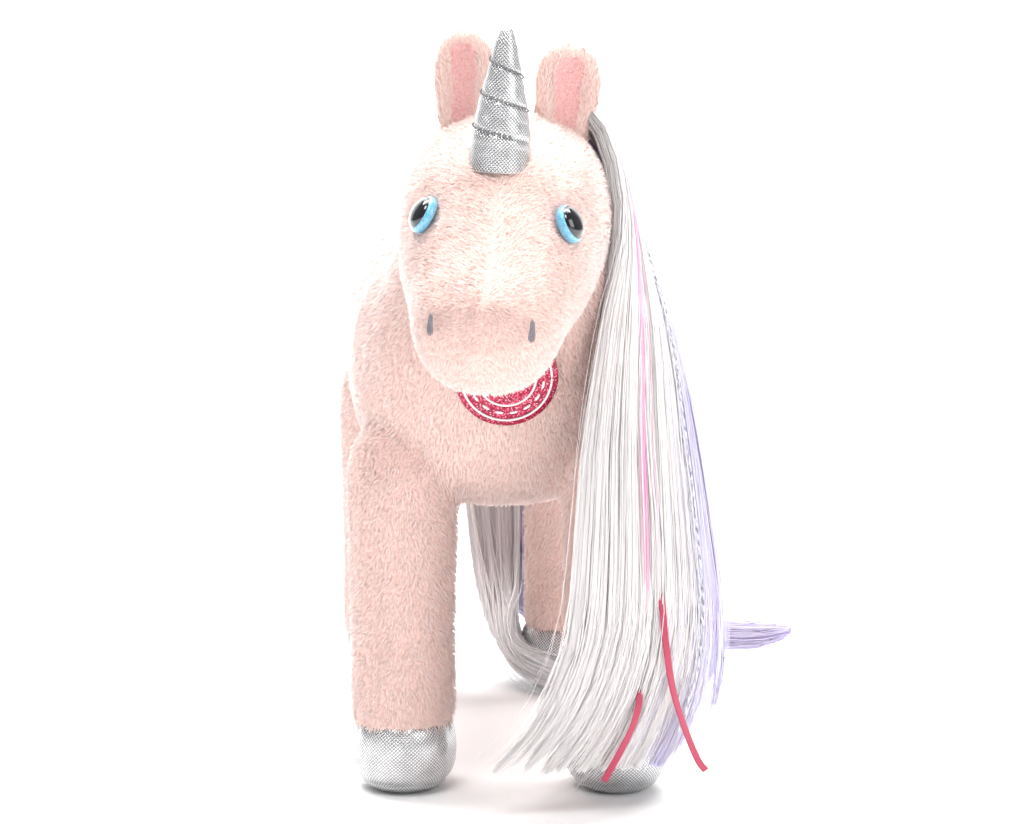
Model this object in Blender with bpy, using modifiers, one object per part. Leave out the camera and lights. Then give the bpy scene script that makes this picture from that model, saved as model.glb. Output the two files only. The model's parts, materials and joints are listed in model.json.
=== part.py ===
"""A plush unicorn that stands on four legs, with a long mane over its left shoulder.

Cloth pieces wrap their stuffing: body, head, horn, ears, legs and foil hooves, with safety eyes
and an embroidered badge. It faces -Y, +X is its left side, +Z is up and the floor is z = 0.
Metres throughout.
"""

import math
from collections import namedtuple

import bmesh
import bpy
from mathutils import Matrix, Vector

# Cloth, clearances and how finely round pieces are divided.
GAP = 0.0004
PLUSH = 0.0018
FOIL = 0.0012
SOCKET_CLEARANCE = 0.0011
AROUND = 16
SEAM_DEGREES = 2.0
SLACK = 0.0010

# Where the animal's middle stands, so that the box round it and its hair is centred on the origin.
STANCE = Vector((-0.0388, 0.0105, 0))

# Body cross-sections from the rump to the neck: y, z, tilt in degrees, half width, half height.
BODY_SECTIONS = (
    (0.1130, 0.155, 0, 0.0040, 0.0040),
    (0.1085, 0.155, 0, 0.0275, 0.0280),
    (0.0950, 0.154, 0, 0.0450, 0.0440),
    (0.0700, 0.154, 0, 0.0550, 0.0520),
    (0.0300, 0.153, 0, 0.0560, 0.0515),
    (-0.0050, 0.152, 4, 0.0560, 0.0500),
    (-0.0330, 0.154, 14, 0.0560, 0.0500),
    (-0.0500, 0.162, 32, 0.0550, 0.0510),
    (-0.0620, 0.174, 52, 0.0500, 0.0450),
    (-0.0660, 0.187, 74, 0.0445, 0.0390),
    (-0.0660, 0.199, 90, 0.0395, 0.0365),
)
BODY_ROUNDNESS = 2.35
GUSSET_HALF_ANGLE = 42

# The neck's axis, the level where the head sits on it, and the spigot of stuffing inside the head.
NECK_Y = -0.066
NECK_TOP = 0.199
SPIGOT_RADIUS = 0.018
SPIGOT_TOP = 0.214
THROAT_RADIUS = 0.0465

# Head cross-sections from the back of the skull to the nose: how far along, half width,
# and the distances from the axis up and down.
HEAD_BACK = Vector((0, -0.036, 0.229))
HEAD_NOSE = Vector((0, -0.1515, 0.170))
HEAD_SECTIONS = (
    (0.000, 0.0030, 0.0030, 0.0030),
    (0.045, 0.0215, 0.0220, 0.0190),
    (0.170, 0.0335, 0.0335, 0.0290),
    (0.320, 0.0370, 0.0370, 0.0315),
    (0.470, 0.0373, 0.0375, 0.0300),
    (0.620, 0.0338, 0.0315, 0.0280),
    (0.760, 0.0288, 0.0245, 0.0265),
    (0.880, 0.0258, 0.0195, 0.0258),
    (0.960, 0.0200, 0.0140, 0.0200),
    (1.000, 0.0030, 0.0025, 0.0025),
)
HEAD_ROUNDNESS = 2.2
FACE_HALF_ANGLE = 30
HEAD_YAW = -9.6
HEAD_ROLL = 3.3

# Safety eyes and nostril stitches, placed by how far along the head and the angle from its top.
EYE_ALONG = 0.545
EYE_ANGLE = 50
EYE_RADIUS = 0.0068
EYE_DOME = 0.0044
EYE_STEM = 0.0022
NOSTRIL_ALONG = 0.889
NOSTRIL_ANGLE = 54

# Horn: outer radius at heights above the floor, before the head is turned.
HORN_X = -0.0012
HORN_Y = -0.1035
HORN_PROFILE = (
    (0.2230, 0.0118),
    (0.2394, 0.0106),
    (0.2516, 0.0083),
    (0.2624, 0.0059),
    (0.2728, 0.0037),
    (0.2765, 0.0024),
)
HORN_STITCH_RANGE = (0.2405, 0.2715)
HORN_STITCH_PITCH = 0.0114
HORN_STITCH_RADIUS = 0.00035

# Ears: hinge line, height, and half widths up the leaf.
EAR_X = 0.0187
EAR_Y = -0.067
EAR_FOOT = 0.2400
EAR_TIP = 0.2745
EAR_TURN_OUT = 24
EAR_HALF_WIDTHS = (0.0085, 0.0098, 0.0104, 0.0104, 0.0092, 0.0060)
EAR_CUP = 62

# Badge on the chest.
BADGE_RADIUS = 0.018
BADGE_THICKNESS = 0.0016
BADGE_Z = 0.1585
BADGE_ANGLE = 182.2
BADGE_RINGS = (0.0155, 0.0106)
BADGE_STITCH = 0.0011

# Legs: hip centre, ball radius across the hinge, and outline below the hip.
Leg = namedtuple("Leg", "name side x y hip_z ball outline")
FRONT_HIP = 0.118
REAR_HIP = 0.122
FRONT_OUTLINE = (
    (0.118, 0.0213, 0.0213),
    (0.100, 0.0213, 0.0212),
    (0.080, 0.0208, 0.0206),
    (0.055, 0.0203, 0.0201),
    (0.035, 0.0204, 0.0202),
    (0.0236, 0.0202, 0.0200),
)
REAR_OUTLINE = (
    (0.122, 0.0205, 0.0270),
    (0.100, 0.0200, 0.0250),
    (0.080, 0.0195, 0.0218),
    (0.055, 0.0192, 0.0195),
    (0.035, 0.0194, 0.0194),
    (0.0236, 0.0195, 0.0194),
)
LEGS = (
    Leg("front_right", -1, 0.0378, -0.063, FRONT_HIP, 0.0213, FRONT_OUTLINE),
    Leg("front_left", 1, 0.0400, -0.070, FRONT_HIP, 0.0213, FRONT_OUTLINE),
    Leg("rear_right", -1, 0.0380, 0.088, REAR_HIP, 0.0270, REAR_OUTLINE),
    Leg("rear_left", 1, 0.0380, 0.088, REAR_HIP, 0.0270, REAR_OUTLINE),
)
HOOF_OUTLINE = (
    (0.0230, 0.0176),
    (0.0150, 0.0184),
    (0.0080, 0.0178),
    (0.0030, 0.0155),
    (0.0000, 0.0125),
)

# Mane: three guide strands from root to tip, at the front, the middle and the back of the crest.
MANE_FRONT = (
    (0.010, -0.057, 0.2575), (0.0245, -0.058, 0.2510), (0.0360, -0.060, 0.2360), (0.0430, -0.068, 0.2130),
    (0.0425, -0.084, 0.190), (0.0350, -0.101, 0.168), (0.0295, -0.109, 0.135), (0.0285, -0.111, 0.100),
    (0.0275, -0.111, 0.065), (0.0195, -0.110, 0.038), (0.0080, -0.108, 0.020),
)
MANE_MIDDLE = (
    (0.009, -0.045, 0.2540), (0.0250, -0.044, 0.2470), (0.0380, -0.046, 0.2310), (0.0445, -0.056, 0.2080),
    (0.0490, -0.076, 0.187), (0.0530, -0.089, 0.165), (0.0570, -0.094, 0.133), (0.0610, -0.095, 0.099),
    (0.0630, -0.097, 0.065), (0.0570, -0.099, 0.036), (0.0480, -0.101, 0.016),
)
MANE_BACK = (
    (0.008, -0.034, 0.2420), (0.0245, -0.034, 0.2350), (0.0390, -0.038, 0.2190), (0.0470, -0.048, 0.1990),
    (0.0540, -0.064, 0.179), (0.0600, -0.069, 0.157), (0.0665, -0.070, 0.128), (0.0725, -0.067, 0.096),
    (0.0785, -0.066, 0.062), (0.0775, -0.069, 0.034), (0.0680, -0.078, 0.012),
)
MANE_THICKNESS = 0.0040
MANE_HINGE = Vector((0.012, -0.045, 0.249))
HAIR_ROWS = 14

# Tail: its two edges from the rump to the tip.
TAIL_INNER = (
    (-0.0060, 0.1160, 0.172), (-0.0090, 0.1245, 0.154), (-0.0100, 0.1300, 0.115), (-0.0080, 0.1290, 0.078),
    (-0.0040, 0.1265, 0.042), (0.0120, 0.1240, 0.0150), (0.0500, 0.1200, 0.0080), (0.0900, 0.1130, 0.0070),
    (0.1180, 0.1030, 0.009), (0.1345, 0.0960, 0.017),
)
TAIL_OUTER = (
    (0.0060, 0.1160, 0.172), (0.0140, 0.1245, 0.155), (0.0260, 0.1300, 0.118), (0.0340, 0.1290, 0.084),
    (0.0400, 0.1265, 0.055), (0.0500, 0.1240, 0.035), (0.0690, 0.1200, 0.0250), (0.0950, 0.1130, 0.0195),
    (0.1200, 0.1030, 0.0190), (0.1355, 0.0960, 0.0205),
)
TAIL_THICKNESS = 0.0070
TAIL_HINGE = Vector((0, 0.1135, 0.175))

PINK = (0.86, 0.62, 0.62)
INNER_PINK = (0.84, 0.50, 0.46)
FOIL_SILVER = (0.62, 0.63, 0.64)
WADDING = (0.90, 0.90, 0.88)
WHITE_HAIR = (0.90, 0.89, 0.91)
LILAC_HAIR = (0.55, 0.50, 0.80)
STRAND_PINK = (0.90, 0.42, 0.62)
RIBBON_PINK = (0.84, 0.10, 0.20)
CRIMSON = (0.45, 0.01, 0.06)


def clear_scene():
    for old in list(bpy.data.objects):
        bpy.data.objects.remove(old)


def new_collection(name):
    collection = bpy.data.collections.new(name)
    bpy.context.scene.collection.children.link(collection)
    return collection


def material(name, colour, roughness, metallic=0.0):
    """A plain Principled material."""
    made = bpy.data.materials.new(name)
    made.use_nodes = True
    shader = made.node_tree.nodes["Principled BSDF"]
    shader.inputs["Base Color"].default_value = (*colour, 1)
    shader.inputs["Roughness"].default_value = roughness
    shader.inputs["Metallic"].default_value = metallic
    return made


def place(name, mesh, parent, look=None):
    """Link a mesh as a node, or as a cutter where it has no look."""
    made = bpy.data.objects.new(name, mesh)
    (NODES if look else CUTTERS).objects.link(made)
    made.parent = parent
    if look:
        colour, roughness, metallic = look
        mesh.materials.append(material(name, colour, roughness, metallic))
        mesh.shade_smooth()
        mesh.set_sharp_from_angle(angle=math.radians(40))
    else:
        made.hide_render = True
        made.display_type = "WIRE"
    return made


def smooth_through(keys, count):
    """count + 1 tuples spread along a Catmull-Rom curve through the key tuples."""
    spans = len(keys) - 1
    found = []
    for step in range(count + 1):
        place_on = min(step * spans / count, spans - 1e-9)
        first = int(place_on)
        u = place_on - first
        before = keys[max(first - 1, 0)]
        here, after = keys[first], keys[first + 1]
        beyond = keys[min(first + 2, spans)]
        found.append(tuple(
            0.5 * (2 * b + (c - a) * u + (2 * a - 5 * b + 4 * c - d) * u * u
                   + (3 * b - a - 3 * c + d) * u ** 3)
            for a, b, c, d in zip(before, here, after, beyond)
        ))
    return found


def rounded(angle, roundness):
    """Sine and cosine of a superellipse, from the top (0) round to the left side."""
    sine, cosine = math.sin(angle), math.cos(angle)
    power = 2 / roundness
    return (math.copysign(abs(sine) ** power, sine), math.copysign(abs(cosine) ** power, cosine))


def body_point(section, degrees):
    """A point on the body's surface at an angle from the top of one cross-section."""
    y, z, tilt, half_width, half_height = section
    sine, cosine = rounded(math.radians(degrees), BODY_ROUNDNESS)
    lean = math.radians(tilt)
    up = half_height * cosine
    return Vector((half_width * sine, y + up * math.sin(lean), z + up * math.cos(lean)))


def head_point(section, degrees):
    """A point on the head's surface, from the head's own origin on the neck's axis at the floor."""
    along, half_width, above, below = section
    sine, cosine = rounded(math.radians(degrees), HEAD_ROUNDNESS)
    axis = HEAD_NOSE - HEAD_BACK
    up = Vector((0, axis.z, -axis.y)).normalized()
    reach = above if cosine > 0 else below
    centre = HEAD_BACK + axis * along - Vector((0, NECK_Y, 0))
    return centre + Vector((half_width * sine, 0, 0)) + up * (reach * cosine)


def surface_frame(point_at, section_keys, along_index, degrees):
    """Matrix with its origin on a surface and its +Z along the outward normal."""
    steps = 40
    rows = smooth_through(section_keys, steps)
    here = min(range(1, steps), key=lambda i: abs(i / steps - along_index))
    point = point_at(rows[here], degrees)
    along = point_at(rows[here + 1], degrees) - point_at(rows[here - 1], degrees)
    around = point_at(rows[here], degrees + 2) - point_at(rows[here], degrees - 2)
    normal = around.cross(along).normalized()
    centre = (point_at(rows[here], 0) + point_at(rows[here], 180)) / 2
    if normal.dot(point - centre) < 0:
        normal.negate()
    side = Vector((0, 0, 1)).cross(normal).normalized()
    return Matrix.Translation(point) @ Matrix((side, normal.cross(side), normal)).transposed().to_4x4()


def rows_of(point_at, sections, from_degrees, to_degrees, count):
    step = (to_degrees - from_degrees) / count
    return [[point_at(section, from_degrees + step * i) for i in range(count + 1)]
            for section in sections]


def solid_mesh(name, rows, grow=0.0):
    """A closed solid from rings of points, capped at both ends, then grown along its normals."""
    work = bmesh.new()
    rings = [[work.verts.new(point) for point in row] for row in rows]
    for near, far in zip(rings, rings[1:]):
        for i in range(len(near)):
            work.faces.new((near[i - 1], near[i], far[i], far[i - 1]))
    for ring in (rings[0], rings[-1]):
        middle = work.verts.new(sum((v.co for v in ring), Vector()) / len(ring))
        for i in range(len(ring)):
            work.faces.new((ring[i - 1], ring[i], middle))
    bmesh.ops.recalc_face_normals(work, faces=work.faces)
    work.normal_update()
    moves = [vert.normal * grow for vert in work.verts]
    for vert, move in zip(work.verts, moves):
        vert.co += move
    mesh = bpy.data.meshes.new(name)
    work.to_mesh(mesh)
    work.free()
    return mesh


def sheet_mesh(name, rows, wrap=False, capped=False, inwards_to=None):
    """An open surface over rows of points, facing away from inwards_to where that is given."""
    work = bmesh.new()
    grid = [[work.verts.new(point) for point in row] for row in rows]
    for near, far in zip(grid, grid[1:]):
        for i in range(0 if wrap else 1, len(near)):
            work.faces.new((near[i - 1], near[i], far[i], far[i - 1]))
    if capped:
        middle = work.verts.new(sum((v.co for v in grid[-1]), Vector()) / len(grid[-1]))
        for i in range(len(grid[-1])):
            work.faces.new((grid[-1][i - 1], grid[-1][i], middle))
    work.normal_update()
    if inwards_to is not None:
        outward = sum(face.normal.dot(face.calc_center_median() - inwards_to) for face in work.faces)
        if outward < 0:
            bmesh.ops.reverse_faces(work, faces=work.faces)
    mesh = bpy.data.meshes.new(name)
    work.to_mesh(mesh)
    work.free()
    return mesh


def thicken(made, thickness, offset=-1.0):
    solidify = made.modifiers.new("cloth", "SOLIDIFY")
    solidify.thickness = thickness
    solidify.offset = offset
    solidify.use_even_offset = True
    return made


def cut(made, *cutters):
    for cutter in cutters:
        boolean = made.modifiers.new("cut", "BOOLEAN")
        boolean.operation = "DIFFERENCE"
        boolean.solver = "EXACT"
        boolean.object = cutter
    return made


def lathe(name, profile, parent, look, steps=18):
    """A turned solid: radius and height pairs, from the top down, spun about the local Z axis."""
    work = bmesh.new()
    verts = [work.verts.new((radius, 0, height)) for radius, height in profile]
    for pair in zip(verts, verts[1:]):
        work.edges.new(pair)
    mesh = bpy.data.meshes.new(name)
    work.to_mesh(mesh)
    work.free()
    made = place(name, mesh, parent, look)
    screw = made.modifiers.new("turn", "SCREW")
    screw.steps = steps
    screw.render_steps = steps
    screw.use_merge_vertices = True
    screw.merge_threshold = 0.00001
    screw.use_smooth_shade = True
    return made


def cylinder_cutter(name, radius, low, high, x, y, parent, top_radius=None):
    work = bmesh.new()
    bmesh.ops.create_cone(work, cap_ends=True, segments=24, radius1=radius,
                          radius2=radius if top_radius is None else top_radius, depth=high - low)
    bmesh.ops.translate(work, verts=work.verts, vec=(x, y, (low + high) / 2))
    mesh = bpy.data.meshes.new(name)
    work.to_mesh(mesh)
    work.free()
    return place(name, mesh, parent)


def empty(name, parent, location=(0, 0, 0)):
    made = bpy.data.objects.new(name, None)
    NODES.objects.link(made)
    made.parent = parent
    made.location = location
    return made


def leg_rows(leg, inset, outline, ball=True):
    """Rings down a leg: a ball about the hip first, then the outline."""
    rows = []
    if ball:
        for degrees in (12, 30, 50, 70):
            turn = math.radians(degrees)
            rows.append((leg.hip_z + (leg.ball - inset) * math.cos(turn),
                         (outline[0][1] - inset) * math.sin(turn), (leg.ball - inset) * math.sin(turn)))
    rows += [(z, half_x - inset, half_y - inset) for z, half_x, half_y in outline]
    return [[Vector((half_x * math.cos(a), half_y * math.sin(a), z - leg.hip_z))
             for a in (2 * math.pi * i / AROUND for i in range(AROUND))]
            for z, half_x, half_y in rows]


def build_leg(leg, stance):
    """One leg on its hip: plush sleeve, foil hoof and the stuffing inside both."""
    hip = empty("hip_" + leg.name, stance, (leg.side * leg.x, leg.y, leg.hip_z))
    sleeve = sheet_mesh("leg_cover_" + leg.name, leg_rows(leg, 0, leg.outline)[::-1], True, True,
                        Vector((0, 0, -0.04)))
    thicken(place("leg_cover_" + leg.name, sleeve, hip, (PINK, 0.95, 0)), PLUSH)
    hoof_outline = [(z, half, half) for z, half in HOOF_OUTLINE]
    hoof = sheet_mesh("hoof_" + leg.name, leg_rows(leg, 0, hoof_outline, False), True, True,
                      Vector((0, 0, 0.015 - leg.hip_z)))
    thicken(place("hoof_" + leg.name, hoof, hip, (FOIL_SILVER, 0.35, 0.7)), FOIL)
    inner = [(z, half_x, half_y) for z, half_x, half_y in leg.outline]
    inner += [(z + PLUSH + GAP if z == 0 else z, half, half) for z, half in HOOF_OUTLINE]
    core = solid_mesh("leg_stuffing_" + leg.name, leg_rows(leg, PLUSH + GAP + 0.0002, inner))
    place("leg_stuffing_" + leg.name, core, hip, (WADDING, 1, 0))


def leg_socket(leg, stance):
    """The space in the body for a leg's ball, and the way its column swings below the hip."""
    work = bmesh.new()
    bmesh.ops.create_uvsphere(work, u_segments=AROUND, v_segments=10, radius=1)
    reach = leg.ball + SOCKET_CLEARANCE
    across = leg.outline[0][1] + SOCKET_CLEARANCE
    bmesh.ops.scale(work, verts=work.verts, vec=(across, reach, reach))
    mesh = bpy.data.meshes.new("socket_" + leg.name)
    work.to_mesh(mesh)
    work.free()
    ball = place("socket_" + leg.name, mesh, stance)
    ball.location = (leg.side * leg.x, leg.y, leg.hip_z)
    below = cylinder_cutter("swing_" + leg.name, reach + 0.006, leg.hip_z - 0.04, leg.hip_z,
                            leg.side * leg.x, leg.y, stance, reach)
    return ball, below


def build_body(stance):
    sections = smooth_through(BODY_SECTIONS, 15)
    middle = Vector((0, 0.01, 0.15))
    sockets = {leg.name: leg_socket(leg, stance) for leg in LEGS}
    for side, name in ((1, "left"), (-1, "right")):
        seam = 180 - GUSSET_HALF_ANGLE
        rows = rows_of(body_point, sections, side * SEAM_DEGREES / 2, side * (seam - SEAM_DEGREES), 7)
        panel = place("body_side_" + name, sheet_mesh("body_side_" + name, rows, inwards_to=middle),
                      stance, (PINK, 0.95, 0))
        thicken(panel, PLUSH)
        cut(panel, *sockets["front_" + name], *sockets["rear_" + name])
    rows = rows_of(body_point, sections, 180 - GUSSET_HALF_ANGLE, 180 + GUSSET_HALF_ANGLE, 6)
    gusset = place("chest_and_belly_gusset", sheet_mesh("gusset", rows, inwards_to=middle), stance,
                   (PINK, 0.95, 0))
    thicken(gusset, PLUSH)
    every_socket = [cutter for pair in sockets.values() for cutter in pair]
    cut(gusset, *every_socket)
    inset = PLUSH + GAP + SLACK
    rows = rows_of(body_point, sections[1:], 0, 360 - 360 / AROUND, AROUND - 1)
    for height in (NECK_TOP + 0.0005, SPIGOT_TOP + inset):
        rows.append([Vector(((SPIGOT_RADIUS + inset) * math.sin(a),
                             NECK_Y + (SPIGOT_RADIUS + inset) * math.cos(a), height))
                     for a in (2 * math.pi * i / AROUND for i in range(AROUND))])
    core = place("body_stuffing", solid_mesh("body_stuffing", rows, -inset), stance, (WADDING, 1, 0))
    cut(core, *every_socket)


def build_head(head):
    """Two cheek panels and a face gusset round the head's stuffing, hollowed for the neck."""
    sections = smooth_through(HEAD_SECTIONS, 14)
    middle = (HEAD_BACK + HEAD_NOSE) / 2 - Vector((0, NECK_Y, 0))
    throat = cylinder_cutter("throat", THROAT_RADIUS, 0.12, NECK_TOP + 0.0008, 0, NECK_Y, head.parent)
    spigot = cylinder_cutter("spigot_space", SPIGOT_RADIUS + 0.003, 0.19, SPIGOT_TOP + 0.004,
                             0, NECK_Y, head.parent)
    eyes = [eye_space(side, head) for side in (1, -1)]
    for side, name, space in ((1, "left", eyes[0]), (-1, "right", eyes[1])):
        rows = rows_of(head_point, sections, side * (FACE_HALF_ANGLE + SEAM_DEGREES),
                       side * (180 - SEAM_DEGREES), 7)
        cheek = place("head_side_" + name, sheet_mesh("head_side_" + name, rows, inwards_to=middle),
                      head, (PINK, 0.95, 0))
        thicken(cheek, PLUSH)
        cut(cheek, throat, space[0])
    rows = rows_of(head_point, sections, SEAM_DEGREES - FACE_HALF_ANGLE,
                   FACE_HALF_ANGLE - SEAM_DEGREES, 5)
    face = place("face_gusset", sheet_mesh("face_gusset", rows, inwards_to=middle), head,
                 (PINK, 0.95, 0))
    thicken(face, PLUSH)
    rows = rows_of(head_point, sections[1:-1], 0, 360 - 360 / AROUND, AROUND - 1)
    core = place("head_stuffing", solid_mesh("head_stuffing", rows, -(PLUSH + GAP + SLACK)), head,
                 (WADDING, 1, 0))
    cut(core, throat, spigot, *eyes[0], *eyes[1])


def eye_frame(side):
    return surface_frame(head_point, HEAD_SECTIONS, EYE_ALONG, side * EYE_ANGLE)


def eye_space(side, head):
    """Cutters for an eye's stem and for its washer behind the cloth."""
    name = "left" if side > 0 else "right"
    stem = cylinder_cutter("eye_hole_" + name, EYE_STEM + 0.0005, -0.0125, 0.004, 0, 0, head)
    pocket = cylinder_cutter("washer_pocket_" + name, 0.0070, -0.0064, -PLUSH, 0, 0, head)
    for cutter in (stem, pocket):
        cutter.matrix_local = eye_frame(side)
    return stem, pocket


def build_eye(side, head):
    """A safety eye: clear dome, painted back with its stem, and the lock washer inside."""
    name = "left" if side > 0 else "right"
    back_top = 0.0012
    dome = [(0, back_top + GAP + EYE_DOME)]
    for degrees in (22, 45, 68, 90):
        turn = math.radians(degrees)
        dome.append((EYE_RADIUS * math.sin(turn), back_top + GAP + EYE_DOME * math.cos(turn)))
    dome.append((0, back_top + GAP))
    back = [(0, back_top), (EYE_RADIUS, back_top), (EYE_RADIUS, GAP), (EYE_STEM, GAP),
            (EYE_STEM, -0.0115), (0, -0.0115)]
    washer = [(EYE_STEM + GAP, -0.0042), (0.0062, -0.0042), (0.0062, -0.0054),
              (EYE_STEM + GAP, -0.0054), (EYE_STEM + GAP, -0.0042)]
    pieces = (lathe("eye_dome_" + name, dome, head, ((0.01, 0.01, 0.012), 0.04, 0)),
              lathe("eye_back_" + name, back, head, ((0.12, 0.42, 0.62), 0.3, 0)),
              lathe("eye_washer_" + name, washer, head, (WADDING, 0.5, 0)))
    for piece in pieces:
        piece.matrix_local = eye_frame(side)


def build_nostril(side, head):
    """A short upright bar of satin stitches."""
    name = "nostril_stitch_" + ("left" if side > 0 else "right")
    work = bmesh.new()
    bmesh.ops.create_uvsphere(work, u_segments=8, v_segments=6, radius=1)
    bmesh.ops.scale(work, verts=work.verts, vec=(0.0008, 0.0042, 0.0006))
    mesh = bpy.data.meshes.new(name)
    work.to_mesh(mesh)
    work.free()
    bar = place(name, mesh, head, ((0.35, 0.33, 0.36), 0.8, 0))
    frame = surface_frame(head_point, HEAD_SECTIONS, NOSTRIL_ALONG, side * NOSTRIL_ANGLE)
    bar.matrix_local = frame @ Matrix.Translation((0, 0, 0.0014))


def head_trim(name, outset, head):
    """The head's surface grown by outset, for trimming what sits on it."""
    rows = rows_of(head_point, smooth_through(HEAD_SECTIONS, 14), 0, 360 - 360 / AROUND, AROUND - 1)
    return place(name, solid_mesh(name, rows, outset), head)


def horn_radius(height):
    for (low, wide), (high, narrow) in zip(HORN_PROFILE, HORN_PROFILE[1:]):
        if height <= high:
            return wide + (narrow - wide) * (height - low) / (high - low)
    return HORN_PROFILE[-1][1]


def build_horn(head, head_outline):
    """Foil cone over its stuffing, with a thread wound round it in a spiral."""
    y = HORN_Y - NECK_Y
    def ring(height, radius):
        return [Vector((HORN_X + radius * math.cos(a), y + radius * math.sin(a), height))
                for a in (2 * math.pi * i / AROUND for i in range(AROUND))]
    rows = [ring(height, radius) for height, radius in HORN_PROFILE]
    cover = place("horn_cover", sheet_mesh("horn_cover", rows, True, True, Vector((HORN_X, y, 0.25))),
                  head, (FOIL_SILVER, 0.35, 0.7))
    thicken(cover, FOIL)
    cut(cover, head_outline)
    inner = [ring(height - (0.0015 if i == len(HORN_PROFILE) - 1 else 0), radius - FOIL - GAP)
             for i, (height, radius) in enumerate(HORN_PROFILE)]
    cut(place("horn_stuffing", solid_mesh("horn_stuffing", inner), head, (WADDING, 1, 0)), head_outline)
    low, high = HORN_STITCH_RANGE
    turns = (high - low) / HORN_STITCH_PITCH
    count = int(turns * 16)
    curve = bpy.data.curves.new("horn_stitching", "CURVE")
    curve.dimensions = "3D"
    curve.bevel_depth = HORN_STITCH_RADIUS
    curve.bevel_resolution = 1
    curve.use_fill_caps = True
    spline = curve.splines.new("POLY")
    spline.points.add(count)
    for i, point in enumerate(spline.points):
        height = low + (high - low) * i / count
        angle = -math.pi / 3 - 2 * math.pi * turns * i / count
        radius = horn_radius(height) + HORN_STITCH_RADIUS + 0.0006
        point.co = (HORN_X + radius * math.cos(angle), y + radius * math.sin(angle), height, 1)
    made = bpy.data.objects.new("horn_stitching", curve)
    NODES.objects.link(made)
    made.parent = head
    curve.materials.append(material("horn_stitching", (0.35, 0.35, 0.37), 0.8))


def build_ear(side, head, ear_trim):
    """A cupped leaf of plush with its lining, on a hinge line at its foot."""
    name = "left" if side > 0 else "right"
    hinge = empty("ear_hinge_" + name, head, (side * EAR_X, EAR_Y - NECK_Y, EAR_FOOT))
    height = EAR_TIP - EAR_FOOT
    turn_out = math.radians(side * EAR_TURN_OUT)

    def leaf(inset):
        rows = []
        last = len(EAR_HALF_WIDTHS) - 1
        for i, half_width in enumerate(EAR_HALF_WIDTHS):
            level = height * (1 - (1 - i / last) ** 1.25) - inset * (i == last)
            bend = math.radians(EAR_CUP) * (1 - 0.35 * i / last)
            radius = half_width / math.sin(bend)
            row = []
            for j in range(9):
                a = bend * (j / 4 - 1) * (1 - 0.8 * inset / half_width if half_width > 0.002 else 0.5)
                x, y = (radius - inset) * math.sin(a), (radius - inset) * math.cos(a) - radius * math.cos(bend)
                row.append(Vector((x * math.cos(turn_out) - y * math.sin(turn_out),
                                   x * math.sin(turn_out) + y * math.cos(turn_out), level)))
            rows.append(row)
        return rows
    centre = Vector((0, 0, height / 2)) - Vector((-math.sin(turn_out), math.cos(turn_out), 0)) * 0.02
    outer = sheet_mesh("ear_back_" + name, leaf(0), inwards_to=centre)
    thicken(place("ear_back_" + name, outer, hinge, (PINK, 0.95, 0)), 0.0018)
    inner = sheet_mesh("ear_lining_" + name, leaf(0.0018 + GAP), inwards_to=centre)
    thicken(place("ear_lining_" + name, inner, hinge, (INNER_PINK, 0.95, 0)), 0.0012)
    for piece in hinge.children:
        cut(piece, ear_trim)


def chest_frame():
    """Frame on the front of the chest at the badge's height."""
    steps = 60
    rows = smooth_through(BODY_SECTIONS, steps)
    front = [body_point(row, 180) for row in rows]
    here = min(range(steps // 2, steps), key=lambda i: abs(front[i].z - BADGE_Z))
    return surface_frame(body_point, BODY_SECTIONS, here / steps, BADGE_ANGLE)


def build_badge(stance):
    frame = chest_frame()
    base = 0.0006
    face = base + BADGE_THICKNESS
    disc = lathe("badge_disc", [(0, face), (BADGE_RADIUS, face), (BADGE_RADIUS, base), (0, base)],
                 stance, (CRIMSON, 0.5, 0.1), steps=36)
    disc.matrix_local = frame
    for name, radius in zip(("badge_outer_ring", "badge_inner_ring"), BADGE_RINGS):
        half = BADGE_STITCH / 2
        profile = [(radius - half, face + GAP + half), (radius + half, face + GAP + half),
                   (radius + half, face + GAP), (radius - half, face + GAP),
                   (radius - half, face + GAP + half)]
        ring = lathe(name, profile, stance, ((0.85, 0.85, 0.86), 0.7, 0), steps=32)
        ring.matrix_local = frame


def hair_point(strands, t, row):
    """The point at a fraction t of a hair sheet's width, on strands already sampled into rows."""
    weights = ((1 - t) * (1 - 2 * t), 4 * t * (1 - t), t * (2 * t - 1)) if len(strands) == 3 else (1 - t, t)
    return sum((Vector(strand[row]) * weight for strand, weight in zip(strands, weights)), Vector())


def hair_rows(guides, across, rows, count, origin, proud=0.0):
    """Points of a lock over part of a hair sheet's width, measured from origin and lifted off it."""
    strands = [smooth_through(guide, count) for guide in guides]
    found = []
    for row in range(rows[0], rows[1] + 1):
        line = []
        for t in across:
            sideways = hair_point(strands, t + 0.01, row) - hair_point(strands, t - 0.01, row)
            down = hair_point(strands, t, min(row + 1, count)) - hair_point(strands, t, max(row - 1, 0))
            outward = sideways.cross(down).normalized()
            line.append(hair_point(strands, t, row) - outward * proud - origin)
        found.append(line)
    return found


def build_lock(name, guides, span, rows, hinge, origin, look, thickness, proud=0.0):
    """One lock of hair: the part of the sheet between span's two fractions of its width."""
    low, high = span
    columns = max(1, round((high - low) / 0.12))
    across = [low + (high - low) * i / columns for i in range(columns + 1)]
    sheet = hair_rows(guides, across, rows, HAIR_ROWS, origin, proud)
    return thicken(place(name, sheet_mesh(name, sheet), hinge, look), thickness, 0.0)


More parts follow.
